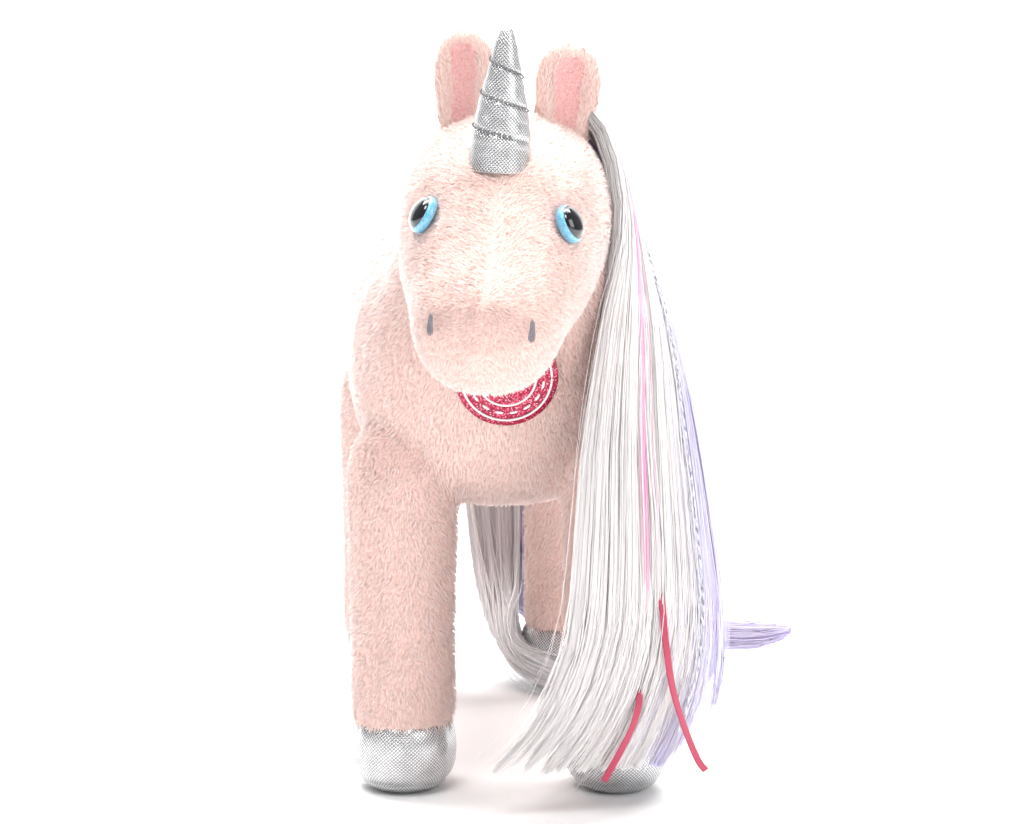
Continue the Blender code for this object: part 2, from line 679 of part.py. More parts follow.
def build_mane(head, head_place):
    """Hair over the left shoulder: white at the front, pink strands, white again, then lilac."""
    guides = (MANE_FRONT, MANE_MIDDLE, MANE_BACK)
    silky, glossy = 0.45, 0.3
    hinge = empty("mane_hinge", head)
    hinge.matrix_parent_inverse = head_place.inverted()
    hinge.location = MANE_HINGE
    for name, span, rows, colour, roughness, thickness, proud in (
        ("mane_weft", (0.03, 0.97), (1, 2), WADDING, 0.9, 0.0012, -0.0042),
        ("mane_white_front_lock", (0.000, 0.160), (1, 14), WHITE_HAIR, silky, MANE_THICKNESS, 0),
        ("mane_pink_strands", (0.203, 0.228), (1, 13), STRAND_PINK, silky, MANE_THICKNESS, 0),
        ("mane_white_middle_lock", (0.270, 0.370), (1, 14), WHITE_HAIR, silky, MANE_THICKNESS, 0),
        ("mane_lilac_lock", (0.390, 0.500), (1, 13), LILAC_HAIR, silky, MANE_THICKNESS, 0),
        ("mane_tinsel", (0.520, 0.545), (1, 12), FOIL_SILVER, glossy, MANE_THICKNESS, 0),
        ("mane_lilac_back_lock", (0.565, 1.000), (1, 14), LILAC_HAIR, silky, MANE_THICKNESS, 0),
        ("mane_ribbon_long", (0.430, 0.475), (3, 14), RIBBON_PINK, glossy, 0.0006, 0.0034),
        ("mane_ribbon_short", (0.300, 0.345), (3, 14), RIBBON_PINK, glossy, 0.0006, 0.0034),
    ):
        build_lock(name, guides, span, rows, hinge, MANE_HINGE, (colour, roughness, 0), thickness, proud)


def build_tail(stance):
    """Hair from the rump seam down to the floor, swept round to the left."""
    hinge = empty("tail_hinge", stance, TAIL_HINGE)
    guides = (TAIL_INNER, TAIL_OUTER)
    for name, span, rows, colour, thickness, proud in (
        ("tail_weft", (0.00, 1.00), (0, 1), WADDING, 0.0010, 0.0045),
        ("tail_white_lock", (0.00, 0.44), (0, 13), WHITE_HAIR, TAIL_THICKNESS, 0),
        ("tail_lilac_lock", (0.47, 1.00), (0, 14), LILAC_HAIR, TAIL_THICKNESS, 0),
        ("tail_ribbon", (0.55, 0.62), (2, 13), RIBBON_PINK, 0.0006, 0.0050),
    ):
        build_lock(name, guides, span, rows, hinge, TAIL_HINGE, (colour, 0.45, 0), thickness, proud)


def main():
    stance = empty("stance", None, STANCE)
    for leg in LEGS:
        build_leg(leg, stance)
    build_body(stance)
    build_badge(stance)
    head = empty("head_turn_axis", stance, (0, NECK_Y, 0))
    pivot = Matrix.Translation((0, 0, NECK_TOP))
    tilt = Matrix.Rotation(math.radians(HEAD_YAW), 4, "Z") @ Matrix.Rotation(math.radians(HEAD_ROLL), 4, "Y")
    head_place = Matrix.Translation((0, NECK_Y, 0)) @ pivot @ tilt @ pivot.inverted()
    head.matrix_local = head_place
    build_head(head)
    for side in (1, -1):
        build_eye(side, head)
        build_nostril(side, head)
    build_horn(head, head_trim("horn_trim", 2 * GAP, head))
    ear_trim = head_trim("ear_trim", 0.003, head)
    for side in (1, -1):
        build_ear(side, head, ear_trim)
    build_mane(head, head_place)
    build_tail(stance)


clear_scene()
NODES = new_collection("plush_unicorn")
CUTTERS = new_collection("cutters")
main()
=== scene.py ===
"""How the plush unicorn looks: pile, foil, hair, ribbon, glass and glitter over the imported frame.

Every place here is worked out in metres from the frame. The animal faces -Y and its left is +X.
"""

import json
import math

import bpy
import numpy as np
from mathutils import Matrix, Vector


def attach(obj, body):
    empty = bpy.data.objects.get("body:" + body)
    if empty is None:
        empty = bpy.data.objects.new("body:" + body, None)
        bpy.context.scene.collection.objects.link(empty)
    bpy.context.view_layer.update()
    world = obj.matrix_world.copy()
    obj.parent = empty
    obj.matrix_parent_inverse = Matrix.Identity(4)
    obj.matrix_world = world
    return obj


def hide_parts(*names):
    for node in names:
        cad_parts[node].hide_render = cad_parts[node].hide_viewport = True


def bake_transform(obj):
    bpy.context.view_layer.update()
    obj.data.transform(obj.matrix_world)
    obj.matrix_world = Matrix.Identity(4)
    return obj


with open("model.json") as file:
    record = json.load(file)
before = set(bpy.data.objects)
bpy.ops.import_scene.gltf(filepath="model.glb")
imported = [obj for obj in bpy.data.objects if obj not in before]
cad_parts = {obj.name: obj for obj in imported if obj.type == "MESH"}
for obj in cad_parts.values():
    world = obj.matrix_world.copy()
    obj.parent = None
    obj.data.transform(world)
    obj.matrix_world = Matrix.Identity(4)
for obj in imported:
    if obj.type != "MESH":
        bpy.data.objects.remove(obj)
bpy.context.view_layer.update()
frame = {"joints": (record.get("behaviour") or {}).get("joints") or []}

# The animal's own axes: its middle stands under the neck's pivot.
NECK_Y = -0.066
NECK_TOP = 0.199
HEAD_YAW = -9.6
HEAD_ROLL = 3.3
PIVOT = Vector(next(j["pos_m"] for j in frame["joints"] if j["name"] == "head_turn"))
ORIGIN = PIVOT - Vector((0, NECK_Y, NECK_TOP))

# How far the skin lies inside the plush surface, the pile on it, and its blades to the square metre.
UNDER = 0.0018
BODY_PILE = {"length": 0.0031, "width": 0.00040, "lift": 1.15}
HEAD_PILE = {"length": 0.0027, "width": 0.00030, "lift": 1.2}
EAR_PILE = {"length": 0.0026, "width": 0.00034, "lift": 0.75}
LINING_PILE = {"length": 0.0015, "width": 0.00030, "lift": 0.8}
BLADES_ON_BODY, BLADES_ON_HEAD, BLADES_ON_EAR = 1.25e6, 2.1e6, 2.4e6
LEG_SPLIT = 0.108

BODY_SECTIONS = (
    (0.1130, 0.155, 0, 0.0040, 0.0040),
    (0.1085, 0.155, 0, 0.0275, 0.0280),
    (0.0950, 0.154, 0, 0.0450, 0.0440),
    (0.0700, 0.154, 0, 0.0550, 0.0520),
    (0.0300, 0.153, 0, 0.0560, 0.0515),
    (-0.0050, 0.151, 4, 0.0560, 0.0515),
    (-0.0330, 0.152, 14, 0.0560, 0.0530),
    (-0.0500, 0.160, 32, 0.0550, 0.0540),
    (-0.0620, 0.174, 52, 0.0500, 0.0450),
    (-0.0660, 0.187, 74, 0.0445, 0.0390),
    (-0.0660, 0.199, 90, 0.0395, 0.0365),
)
BODY_ROUNDNESS = 2.35
CHEST_SEAM = 146
BADGE_Z = 0.1585
BADGE_ANGLE = 182.2
BADGE_RADIUS = 0.018
BADGE_RINGS = (("badge_outer_ring", 0.0157), ("badge_inner_ring", 0.0102))
BADGE_THREAD = 0.00040
BADGE_DASH_THREAD = 0.00045
BADGE_DASHES = 16
BADGE_DASH_RADIUS = 0.0130

HEAD_BACK = Vector((0, -0.036, 0.229))
HEAD_NOSE = Vector((0, -0.1515, 0.170))
HEAD_SECTIONS = (
    (0.000, 0.0030, 0.0030, 0.0030),
    (0.045, 0.0215, 0.0220, 0.0190),
    (0.170, 0.0350, 0.0340, 0.0290),
    (0.320, 0.0385, 0.0373, 0.0315),
    (0.470, 0.0373, 0.0375, 0.0300),
    (0.620, 0.0338, 0.0315, 0.0280),
    (0.760, 0.0288, 0.0245, 0.0265),
    (0.880, 0.0258, 0.0195, 0.0258),
    (0.960, 0.0200, 0.0140, 0.0200),
    (1.000, 0.0030, 0.0025, 0.0025),
)
HEAD_ROUNDNESS = 2.2
FACE_SEAM = 30
EYE_ALONG = 0.545
EYE_ANGLE = 50
EYE_RADIUS = 0.0068
EYE_RISE = 0.0018
EYE_SHIFT = 0.0006
EYE_TURN = 15
EYE_SUNK = 0.0016
NOSTRIL_ALONG = 0.889
NOSTRIL_ANGLE = 54
NOSTRIL_THREAD = 0.00036

FOIL_PITCH = 0.00090
HORN_X = -0.0012
HORN_Y = -0.1035
HORN_PROFILE = (
    (0.2285, 0.0110),
    (0.2394, 0.0102),
    (0.2516, 0.0083),
    (0.2624, 0.0059),
    (0.2728, 0.0037),
    (0.2765, 0.0024),
)
HORN_WIND = (0.2405, 0.2715)
HORN_PUFF = 0.030
HORN_GROOVE = 0.00042
HORN_THREAD = 0.00032
HORN_STITCHES = 84
HORN_PITCH = 0.0114

EAR_X = 0.0187
EAR_Y = -0.067
EAR_FOOT = 0.2400
EAR_TIP = 0.2765
EAR_WIDTHS = (0.0102, 0.0122, 0.0133, 0.0133, 0.0119, 0.0078)
EAR_CUP = 62
EAR_TURN_OUT = 24
LEFT_EAR_LOWER = 0.003

FRONT_OUTLINE = (
    (0.118, 0.0213, 0.0213),
    (0.100, 0.0213, 0.0212),
    (0.080, 0.0208, 0.0206),
    (0.055, 0.0203, 0.0201),
    (0.035, 0.0204, 0.0202),
    (0.0236, 0.0202, 0.0200),
)
REAR_OUTLINE = (
    (0.122, 0.0205, 0.0270),
    (0.100, 0.0200, 0.0250),
    (0.080, 0.0195, 0.0218),
    (0.055, 0.0192, 0.0195),
    (0.035, 0.0194, 0.0194),
    (0.0236, 0.0195, 0.0194),
)
LEGS = (
    ("front_right", -0.0378, -0.063, 0.118, FRONT_OUTLINE),
    ("front_left", 0.0400, -0.070, 0.118, FRONT_OUTLINE),
    ("rear_right", -0.0380, 0.088, 0.122, REAR_OUTLINE),
    ("rear_left", 0.0380, 0.088, 0.122, REAR_OUTLINE),
)
HOOF_PROFILE = (
    (0.0270, 0.0160),
    (0.0236, 0.0182),
    (0.0165, 0.0193),
    (0.0090, 0.0187),
    (0.0032, 0.0156),
    (0.0005, 0.0115),
)

# Hair guides and ribbon routes in millimetres, from root to tip, in the animal's axes.
MM = 0.001
MANE_GUIDES = MM * np.array((
    ((11, -54.5, 257), (25, -61, 251), (35, -69, 238), (39.5, -78, 215), (38.2, -88, 191),
     (34, -101, 168), (29.5, -109, 135), (28.5, -111, 100), (27, -111, 65), (16.5, -110, 35),
     (1, -108, 16)),
    ((9, -45, 254), (25, -44, 247), (38, -46, 231), (44.5, -56, 208), (49, -76, 187), (53, -89, 165),
     (57, -94, 133), (61, -95, 99), (63, -97, 65), (57, -99, 36), (48, -101, 16)),
    ((8, -34, 242), (24.5, -34, 235), (39, -38, 219), (47, -48, 199), (54, -64, 179), (60, -69, 157),
     (66.5, -70, 128), (72.5, -67, 96), (78.5, -66, 62), (77.5, -69, 34), (68, -78, 12)),
))
TAIL_GUIDES = MM * np.array((
    ((-6, 116, 172), (-9, 124.5, 154), (-10, 130, 115), (-8, 129, 78), (-4, 126.5, 42), (12, 124, 15),
     (50, 120, 8), (90, 113, 7), (118, 103, 9), (134.5, 96, 17)),
    ((6, 116, 172), (14, 124.5, 155), (26, 130, 118), (34, 129, 84), (40, 126.5, 55), (50, 124, 35),
     (69, 120, 25), (95, 113, 19.5), (120, 103, 19), (135.5, 96, 20.5)),
))
TAIL_FALL = MM * np.array((
    ((-6, 116, 172), (-9, 123.5, 150), (-7, 128, 110), (-2.8, 122, 74), (1, 118, 48), (5.2, 108, 29),
     (11, 94, 16), (19, 76, 8), (33, 61, 5)),
    ((6, 116, 172), (14, 124.5, 155), (18, 129, 118), (20, 125, 80), (20, 120, 52), (18.5, 110, 34),
     (16.5, 95, 24), (20, 76, 18), (35, 62, 12)),
))
RIBBON_LONG = MM * np.array((
    (49, -96, 130), (49.5, -98, 105), (50.4, -101, 85), (51.3, -108.5, 76.7), (52.4, -109.5, 64.4),
    (55.2, -109, 46.4), (59.8, -108, 31.6), (64.8, -106, 19.5), (68, -105, 15),
))
RIBBON_SHORT = MM * np.array((
    (45, -97, 100), (45, -99, 75), (44.2, -104, 52), (43.1, -111, 42.3), (40.7, -112, 33.6),
    (36.5, -112.5, 25), (30.5, -112.5, 14),
))


# The mane's solid middles: name, slot, share of the sheet, thickness, where it ends, points across.
MANE_CORES = (
    ("mane_white_core", "white_hair", (0.03, 0.42), 0.0040, 0.88, 12),
    ("mane_lilac_core", "lilac_hair", (0.40, 0.97), 0.0036, 0.84, 18),
)

# Its hair: name, nodes it stands for, slot, seed, share of the sheet, locks, strands in a lock, half thickness,
# where the locks end, and how they lie.
MANE_START = 0.07
MANE_LEAN = (0.15, -0.75, 0.45)
MANE_LOCKS = (
    ("mane_white_front", ["mane_white_front_lock"], "white_hair", 401, (-0.09, 0.19), 16, 230, 0.0030,
     (0.88, 1.0), {"splay": 1.2, "fly": 0.08}),
    ("mane_white_middle", ["mane_white_middle_lock"], "white_hair", 402, (0.18, 0.43), 18, 210, 0.0032,
     (0.90, 1.0), {"splay": 1.1, "fly": 0.06, "lift": 0.0004}),
    ("mane_white_veil", [], "white_hair", 403, (0.38, 0.66), 10, 60, 0.0032,
     (0.80, 0.96), {"splay": 1.5, "fly": 0.12, "lift": 0.0008}),
    ("mane_lilac_hair", ["mane_lilac_lock"], "lilac_hair", 405, (0.40, 0.64), 14, 170, 0.0030,
     (0.92, 1.0), {"splay": 1.2}),
    ("mane_lilac_back", ["mane_lilac_back_lock"], "lilac_hair", 406, (0.60, 1.00), 18, 150, 0.0030,
     (0.78, 0.92), {"splay": 1.3, "fly": 0.10}),
    ("mane_pink_hair", ["mane_pink_strands"], "pink_hair", 407, (0.185, 0.225), 2, 22, 0.0010,
     (0.72, 0.84), {"lift": 0.0030, "bunch": 0.0}),
)

# Lamps: name, place, what it points at, watts, width and height.
LAMPS = (
    ("key", (-0.45, -1.15, 2.1), (0, 0, 0.14), 24, (1.0, 0.8)),
    ("fill", (1.3, -1.3, 0.9), (0, 0, 0.14), 15, (1.2, 1.2)),
    ("top", (0, 0.5, 1.9), (0, 0.1, 0), 24, (1.6, 1.6)),
    ("wall", (0, 0.9, 3.4), (0, 3.0, 1.0), 330, (4, 1.5)),
)
WORLD_STRENGTH = 0.33
LENS_MM = 98.2
CAMERA_PLACE = Vector((-0.0818, -1.0627, 0.287))
CAMERA_AZIMUTH = 4.8
CAMERA_DROP = 8.4


# ---------------------------------------------------------------- shapes in numbers

def catmull(keys, at):
    """Points on a Catmull-Rom curve through keys, at fractions of its length in key steps."""
    keys = np.asarray(keys, float)
    spans = len(keys) - 1
    where = np.clip(np.asarray(at, float) * spans, 0, spans - 1e-9)
    first = where.astype(int)
    u = (where - first).reshape((-1,) + (1,) * (keys.ndim - 1))
    a = keys[np.maximum(first - 1, 0)]
    b = keys[first]
    c = keys[first + 1]
    d = keys[np.minimum(first + 2, spans)]
    return 0.5 * (2 * b + (c - a) * u + (2 * a - 5 * b + 4 * c - d) * u ** 2
                  + (3 * b - a - 3 * c + d) * u ** 3)


def unit(vectors):
    return vectors / np.maximum(np.linalg.norm(vectors, axis=-1, keepdims=True), 1e-12)


def superellipse(degrees, roundness):
    turn = np.radians(degrees)
    sine, cosine = np.sin(turn), np.cos(turn)
    power = 2 / roundness
    return np.sign(sine) * np.abs(sine) ** power, np.sign(cosine) * np.abs(cosine) ** power


def body_points(sections, degrees, inset=0.0):
    """Points on the torso, one row for each section, in the animal's axes."""
    sections = np.asarray(sections)[:, None, :]
    sine, cosine = superellipse(np.asarray(degrees, float)[None, :], BODY_ROUNDNESS)
    lean = np.radians(sections[..., 2])
    half_width = np.maximum(sections[..., 3] - inset, 0.001)
    up = np.maximum(sections[..., 4] - inset, 0.001) * cosine
    return np.stack([half_width * sine, sections[..., 0] + up * np.sin(lean),
                     sections[..., 1] + up * np.cos(lean)], -1)


def head_points(sections, degrees, inset=0.0):
    """Points on the head, one row for each section, from the foot of the neck's axis."""
    sections = np.asarray(sections)[:, None, :]
    sine, cosine = superellipse(np.asarray(degrees, float)[None, :], HEAD_ROUNDNESS)
    axis = np.array(HEAD_NOSE - HEAD_BACK)
    up = unit(np.array((0, axis[2], -axis[1])))
    half_width = np.maximum(sections[..., 1] - inset, 0.0006)
    reach = np.maximum(np.where(cosine > 0, sections[..., 2], sections[..., 3]) - inset, 0.0006)
    along = sections[..., 0] * (1 - 2 * inset / np.linalg.norm(axis)) + inset / np.linalg.norm(axis)
    centre = np.array(HEAD_BACK) - (0, NECK_Y, 0) + axis * along[..., None]
    side = np.array((1.0, 0, 0))
    return centre + side * (half_width * sine)[..., None] + up * (reach * cosine)[..., None]


def head_matrix():
    """From the head's own axes to the row frame."""
    lift = Matrix.Translation((0, 0, NECK_TOP))
    turn = (Matrix.Rotation(math.radians(HEAD_YAW), 4, "Z")
            @ Matrix.Rotation(math.radians(HEAD_ROLL), 4, "Y"))
    return Matrix.Translation(ORIGIN + Vector((0, NECK_Y, 0))) @ lift @ turn @ lift.inverted()


HEAD = head_matrix()
ANIMAL = Matrix.Translation(ORIGIN)


def moved(points, matrix):
    matrix = np.array(matrix)
    return points @ matrix[:3, :3].T + matrix[:3, 3]


def surface_frame(points_at, keys, along, degrees, matrix):
    """A matrix standing on a surface, with +Z outwards and +Y upwards, and the matching point."""
    steps = 200
    here = int(round(along * steps))
    rows = catmull(keys, np.array([here - 1, here, here + 1]) / steps)
    grid = points_at(rows, [degrees - 1, degrees, degrees + 1])
    normal = unit(np.cross(grid[1, 2] - grid[1, 0], grid[2, 1] - grid[0, 1]))
    middle = points_at(rows[1:2], [0, 180])[0].mean(0)
    if np.dot(normal, grid[1, 1] - middle) < 0:
        normal = -normal
    normal = Vector(normal)
    side = Vector((0, 0, 1)).cross(normal).normalized()
    place = Matrix((side, normal.cross(side), normal)).transposed().to_4x4()
    return matrix @ Matrix.Translation(Vector(grid[1, 1])) @ place


def chest_frame():
    """Where the badge lies: on the front of the chest at the badge's height."""
    steps = 60
    rows = catmull(BODY_SECTIONS, np.arange(steps + 1) / steps)
    front = body_points(rows, [180])[:, 0]
    here = min(range(steps // 2, steps), key=lambda i: abs(front[i, 2] - BADGE_Z))
    return surface_frame(body_points, BODY_SECTIONS, here / steps, BADGE_ANGLE, ANIMAL)


def lattice(points, size, seed):
    """Smooth noise vectors between -1 and 1, one for each point, on a lattice of cells of size."""
    cells = 32
    table = np.random.default_rng(seed).uniform(-1, 1, (cells, cells, cells, 3))
    where = points / size + 100
    base = np.floor(where).astype(int)
    f = where - base
    f = f * f * (3 - 2 * f)
    total = np.zeros(points.shape)
    for dx in (0, 1):
        for dy in (0, 1):
            for dz in (0, 1):
                weight = (np.where(dx, f[..., 0], 1 - f[..., 0]) * np.where(dy, f[..., 1], 1 - f[..., 1])
                          * np.where(dz, f[..., 2], 1 - f[..., 2]))
                value = table[(base[..., 0] + dx) % cells, (base[..., 1] + dy) % cells,
                              (base[..., 2] + dz) % cells]
                total += weight[..., None] * value
    return total


def distance_to(points, marks):
    """The distance from each point to the nearest of some marks."""
    marks = np.asarray(marks, float)
    nearest = np.full(len(points), 1e9)
    for start in range(0, len(points), 20000):
        part = points[start:start + 20000]
        gap = part[:, None, :] - marks[None, :, :]
        nearest[start:start + 20000] = np.sqrt((gap ** 2).sum(-1).min(1))
    return nearest


# ---------------------------------------------------------------- meshes

def make_mesh(name, verts, faces, smooth=True):
    mesh = bpy.data.meshes.new(name)
    verts = np.asarray(verts, np.float32).reshape(-1, 3)
    mesh.vertices.add(len(verts))
    mesh.vertices.foreach_set("co", verts.ravel())
    sizes = np.concatenate([np.full(len(part), part.shape[1]) for part in faces])
    corners = np.concatenate([np.asarray(part, np.int32).ravel() for part in faces])
    mesh.loops.add(len(corners))
    mesh.loops.foreach_set("vertex_index", corners.astype(np.int32))
    mesh.polygons.add(len(sizes))
    starts = np.concatenate([[0], np.cumsum(sizes)[:-1]])
    mesh.polygons.foreach_set("loop_start", starts.astype(np.int32))
    mesh.polygons.foreach_set("use_smooth", np.full(len(sizes), smooth))
    mesh.update(calc_edges=True)
    mesh.validate()
    return mesh


def make_object(name, mesh, *materials):
    made = bpy.data.objects.new(name, mesh)
    bpy.context.scene.collection.objects.link(made)
    for look in materials:
        mesh.materials.append(look)
    return made


def tube_faces(rows, around, closed=True):
    """Quads between rings of points, wrapping round where closed."""
    last = around if closed else around - 1
    r, c = np.meshgrid(np.arange(rows - 1), np.arange(last), indexing="ij")
    after = (c + 1) % around
    return np.stack([r * around + c, r * around + after, (r + 1) * around + after, (r + 1) * around + c],
                    -1).reshape(-1, 4)


def loft(name, rings, *materials, capped=(True, True)):
    """A closed tube through rings of points, with a fan over each capped end."""
    rings = np.asarray(rings, float)
    rows, around = rings.shape[:2]
    verts = [rings.reshape(-1, 3)]
    quads = tube_faces(rows, around)
    fans = []
    count = rows * around
    step = np.arange(around)
    for wanted, row, flip in ((capped[0], 0, False), (capped[1], rows - 1, True)):
        if not wanted:
            continue
        verts.append(rings[row].mean(0)[None])
        near, far = row * around + step, row * around + (step + 1) % around
        middle = np.full(around, count)
        fans.append(np.stack([near, middle, far] if not flip else [near, far, middle], -1))
        count += 1
    mesh = make_mesh(name, np.concatenate(verts), [quads] + fans)
    turn_outwards(mesh)
    return make_object(name, mesh, *materials)


def turn_outwards(mesh):
    """Flip a closed mesh whose faces look inwards."""
    verts, tris = arrays_of(mesh)[:2]
    a, b, c = verts[tris[:, 0]], verts[tris[:, 1]], verts[tris[:, 2]]
    if np.einsum("ij,ij->i", a, np.cross(b, c)).sum() < 0:
        mesh.flip_normals()


def arrays_of(mesh):
    """A mesh's points, triangles and point normals."""
    verts = np.empty(len(mesh.vertices) * 3, np.float32)
    mesh.vertices.foreach_get("co", verts)
    mesh.calc_loop_triangles()
    tris = np.empty(len(mesh.loop_triangles) * 3, np.int32)
    mesh.loop_triangles.foreach_get("vertices", tris)
    normals = np.empty(len(mesh.vertices) * 3, np.float32)
    mesh.vertices.foreach_get("normal", normals)
    return verts.reshape(-1, 3).astype(float), tris.reshape(-1, 3), normals.reshape(-1, 3).astype(float)


def set_points(mesh, verts):
    mesh.vertices.foreach_set("co", np.asarray(verts, np.float32).ravel())
    mesh.update()


def applied(made):
    """The object with its modifiers made final."""
    graph = bpy.context.evaluated_depsgraph_get()
    mesh = bpy.data.meshes.new_from_object(made.evaluated_get(graph))
    made.modifiers.clear()
    made.data = mesh
    return made


def fused(name, parts, voxel, rounds, *materials):
    """One smooth skin round several overlapping closed pieces."""
    verts, faces, count = [], [], 0
    for part in parts:
        points, tris = arrays_of(part.data)[:2]
        verts.append(points)
        faces.append(tris + count)
        count += len(points)
        bpy.data.objects.remove(part)
    made = make_object(name, make_mesh(name, np.concatenate(verts), [np.concatenate(faces)]))
    remesh = made.modifiers.new("one skin", "REMESH")
    remesh.mode = "VOXEL"
    remesh.voxel_size = voxel
    remesh.use_smooth_shade = True
    soften = made.modifiers.new("soften", "SMOOTH")
    soften.factor = 0.5
    soften.iterations = rounds
    applied(made)
    made.data.materials.clear()
    for look in materials:
        made.data.materials.append(look)
    return made


def split_off(source, name, wanted, *materials):
    """A new piece from the faces of source that lie all in wanted, which source then loses."""
    verts, tris = arrays_of(source.data)[:2]
    inside = wanted(verts[tris].mean(1))
    normals = arrays_of(source.data)[2]
    made = []
    for label, mask in ((name, inside), (source.name, ~inside)):
        used, index = np.unique(tris[mask], return_inverse=True)
        mesh = make_mesh(label, verts[used], [index.reshape(-1, 3)])
        mesh.normals_split_custom_set_from_vertices(normals[used].tolist())
        made.append(mesh)
    part = make_object(name, made[0], *materials)
    kept = list(source.data.materials)
    source.data = made[1]
    for look in kept:
        source.data.materials.append(look)
    return part


def add_tone(mesh, values):
    layer = mesh.attributes.new("tone", "FLOAT", "POINT")
    layer.data.foreach_set("value", np.asarray(values, np.float32).ravel())


def add_cells(mesh, cell_of_corner, place_in_cell, cells):
    """A flat layout with one small cell for each blade or strand, which never overlap."""
    side = int(math.ceil(math.sqrt(cells)))
    corner = np.stack([cell_of_corner % side, cell_of_corner // side], -1)
    layer = mesh.uv_layers.new(name="OFBake")
    layer.data.foreach_set("uv", ((corner + place_in_cell) / side).astype(np.float32).ravel())


# ---------------------------------------------------------------- pile

def scatter(skin, density, seed):
    """Places over a skin: points, normals, one for each of density to the square metre."""
    verts, tris, normals = skin
    rng = np.random.default_rng(seed)
    a, b, c = verts[tris[:, 0]], verts[tris[:, 1]], verts[tris[:, 2]]
    areas = np.linalg.norm(np.cross(b - a, c - a), axis=1) / 2
    count = int(areas.sum() * density)
    chosen = np.searchsorted(np.cumsum(areas) / areas.sum(), rng.random(count))
    chosen = np.minimum(chosen, len(tris) - 1)
    u, v = rng.random(count), rng.random(count)
    over = u + v > 1
    u[over], v[over] = 1 - u[over], 1 - v[over]
    weights = np.stack([1 - u - v, u, v], -1)[..., None]
    points = (verts[tris[chosen]] * weights).sum(1)
    outward = unit((normals[tris[chosen]] * weights).sum(1))
    return points, outward


def build_pile(name, points, outward, comb, length, width, lift, look, seed, shorten=None, tuft=0.0016):
    """Short blades of pile: each leaves the skin at a lean, along the nap, and curls over."""
    rng = np.random.default_rng(seed)
    count = len(points)
    nap = comb(points)
    nap = unit(nap - outward * (nap * outward).sum(1)[:, None])
    broad = lattice(points, 0.009, seed + 1) * 0.40
    close = lattice(points, tuft, seed + 2) * 0.40
    stray = rng.normal(0, 0.22, (count, 3))
    swirl = broad + close + stray
    swirl -= outward * (swirl * outward).sum(1)[:, None]
    flat = unit(nap + swirl)
    rise = lift * rng.uniform(0.75, 1.25, count)[:, None]
    first = unit(flat + outward * rise)
    second = unit(flat + outward * rise * 0.35 + lattice(points, tuft, seed + 5) * 0.25)
    reach = length * rng.uniform(0.7, 1.15, count)
    if shorten is not None:
        reach = reach * shorten(points)
    reach = reach[:, None]
    side = unit(np.cross(first, outward)) * (width / 2) * rng.uniform(0.8, 1.2, count)[:, None]
    root = points - outward * 0.0004
    middle = root + first * reach * 0.55
    tip = middle + second * reach * 0.5
    verts = np.stack([root - side, root + side, middle - side * 0.8, middle + side * 0.8, tip], 1)
    index = np.arange(count)[:, None] * 5
    quads = index + np.array([0, 1, 3, 2])
    tris = index + np.array([2, 3, 4])
    mesh = make_mesh(name, verts, [quads, tris])
    # The tone rises from root to tip: painted shade at the roots and painted light at the tips, with a random
    # part for each blade.
    depth = np.array([0.0, 0.0, 0.55, 0.55, 1.0])
    chance = rng.uniform(-0.12, 0.12, count)[:, None]
    add_tone(mesh, np.clip(depth[None] * 0.7 + 0.24 + chance, 0, 1))
    places = np.array([(0.2, 0.1), (0.8, 0.1), (0.8, 0.5), (0.2, 0.5)])
    tips = np.array([(0.2, 0.5), (0.8, 0.5), (0.5, 0.9)])
    cell = np.concatenate([np.repeat(np.arange(count), 4), np.repeat(np.arange(count), 3)])
    inside = np.concatenate([np.tile(places, (count, 1)), np.tile(tips, (count, 1))])
    add_cells(mesh, cell, inside, count)
    lean = unit(outward + flat * 0.25 + close * 0.30 + rng.normal(0, 0.10, (count, 3)))
    mesh.normals_split_custom_set_from_vertices(np.repeat(lean, 5, 0).tolist())
    return make_object(name, mesh, look)


# ---------------------------------------------------------------- hair

def sheet_at(guides, t, s):
    """Points of a hair sheet at fractions t across it and s down it."""
    along = np.stack([catmull(guide, s) for guide in guides])
    t = np.asarray(t, float)
    if len(guides) == 3:
        weights = np.stack([(1 - t) * (1 - 2 * t), 4 * t * (1 - t), t * (2 * t - 1)])
    else:
        weights = np.stack([1 - t, t])
    return (along * weights[..., None]).sum(0)


def sheet_frame(guides, t, s, outside):
    """Points, side directions and outward directions of a hair sheet. outside is 1 or -1."""
    step = 0.01
    here = sheet_at(guides, t, s)
    side = unit(sheet_at(guides, t + step, s) - sheet_at(guides, t - step, s))
    down = unit(sheet_at(guides, t, np.minimum(s + step, 1)) - sheet_at(guides, t, np.maximum(s - step, 0)))
    out = unit(np.cross(side, down)) * outside
    return here, unit(np.cross(out, down)) * outside, out


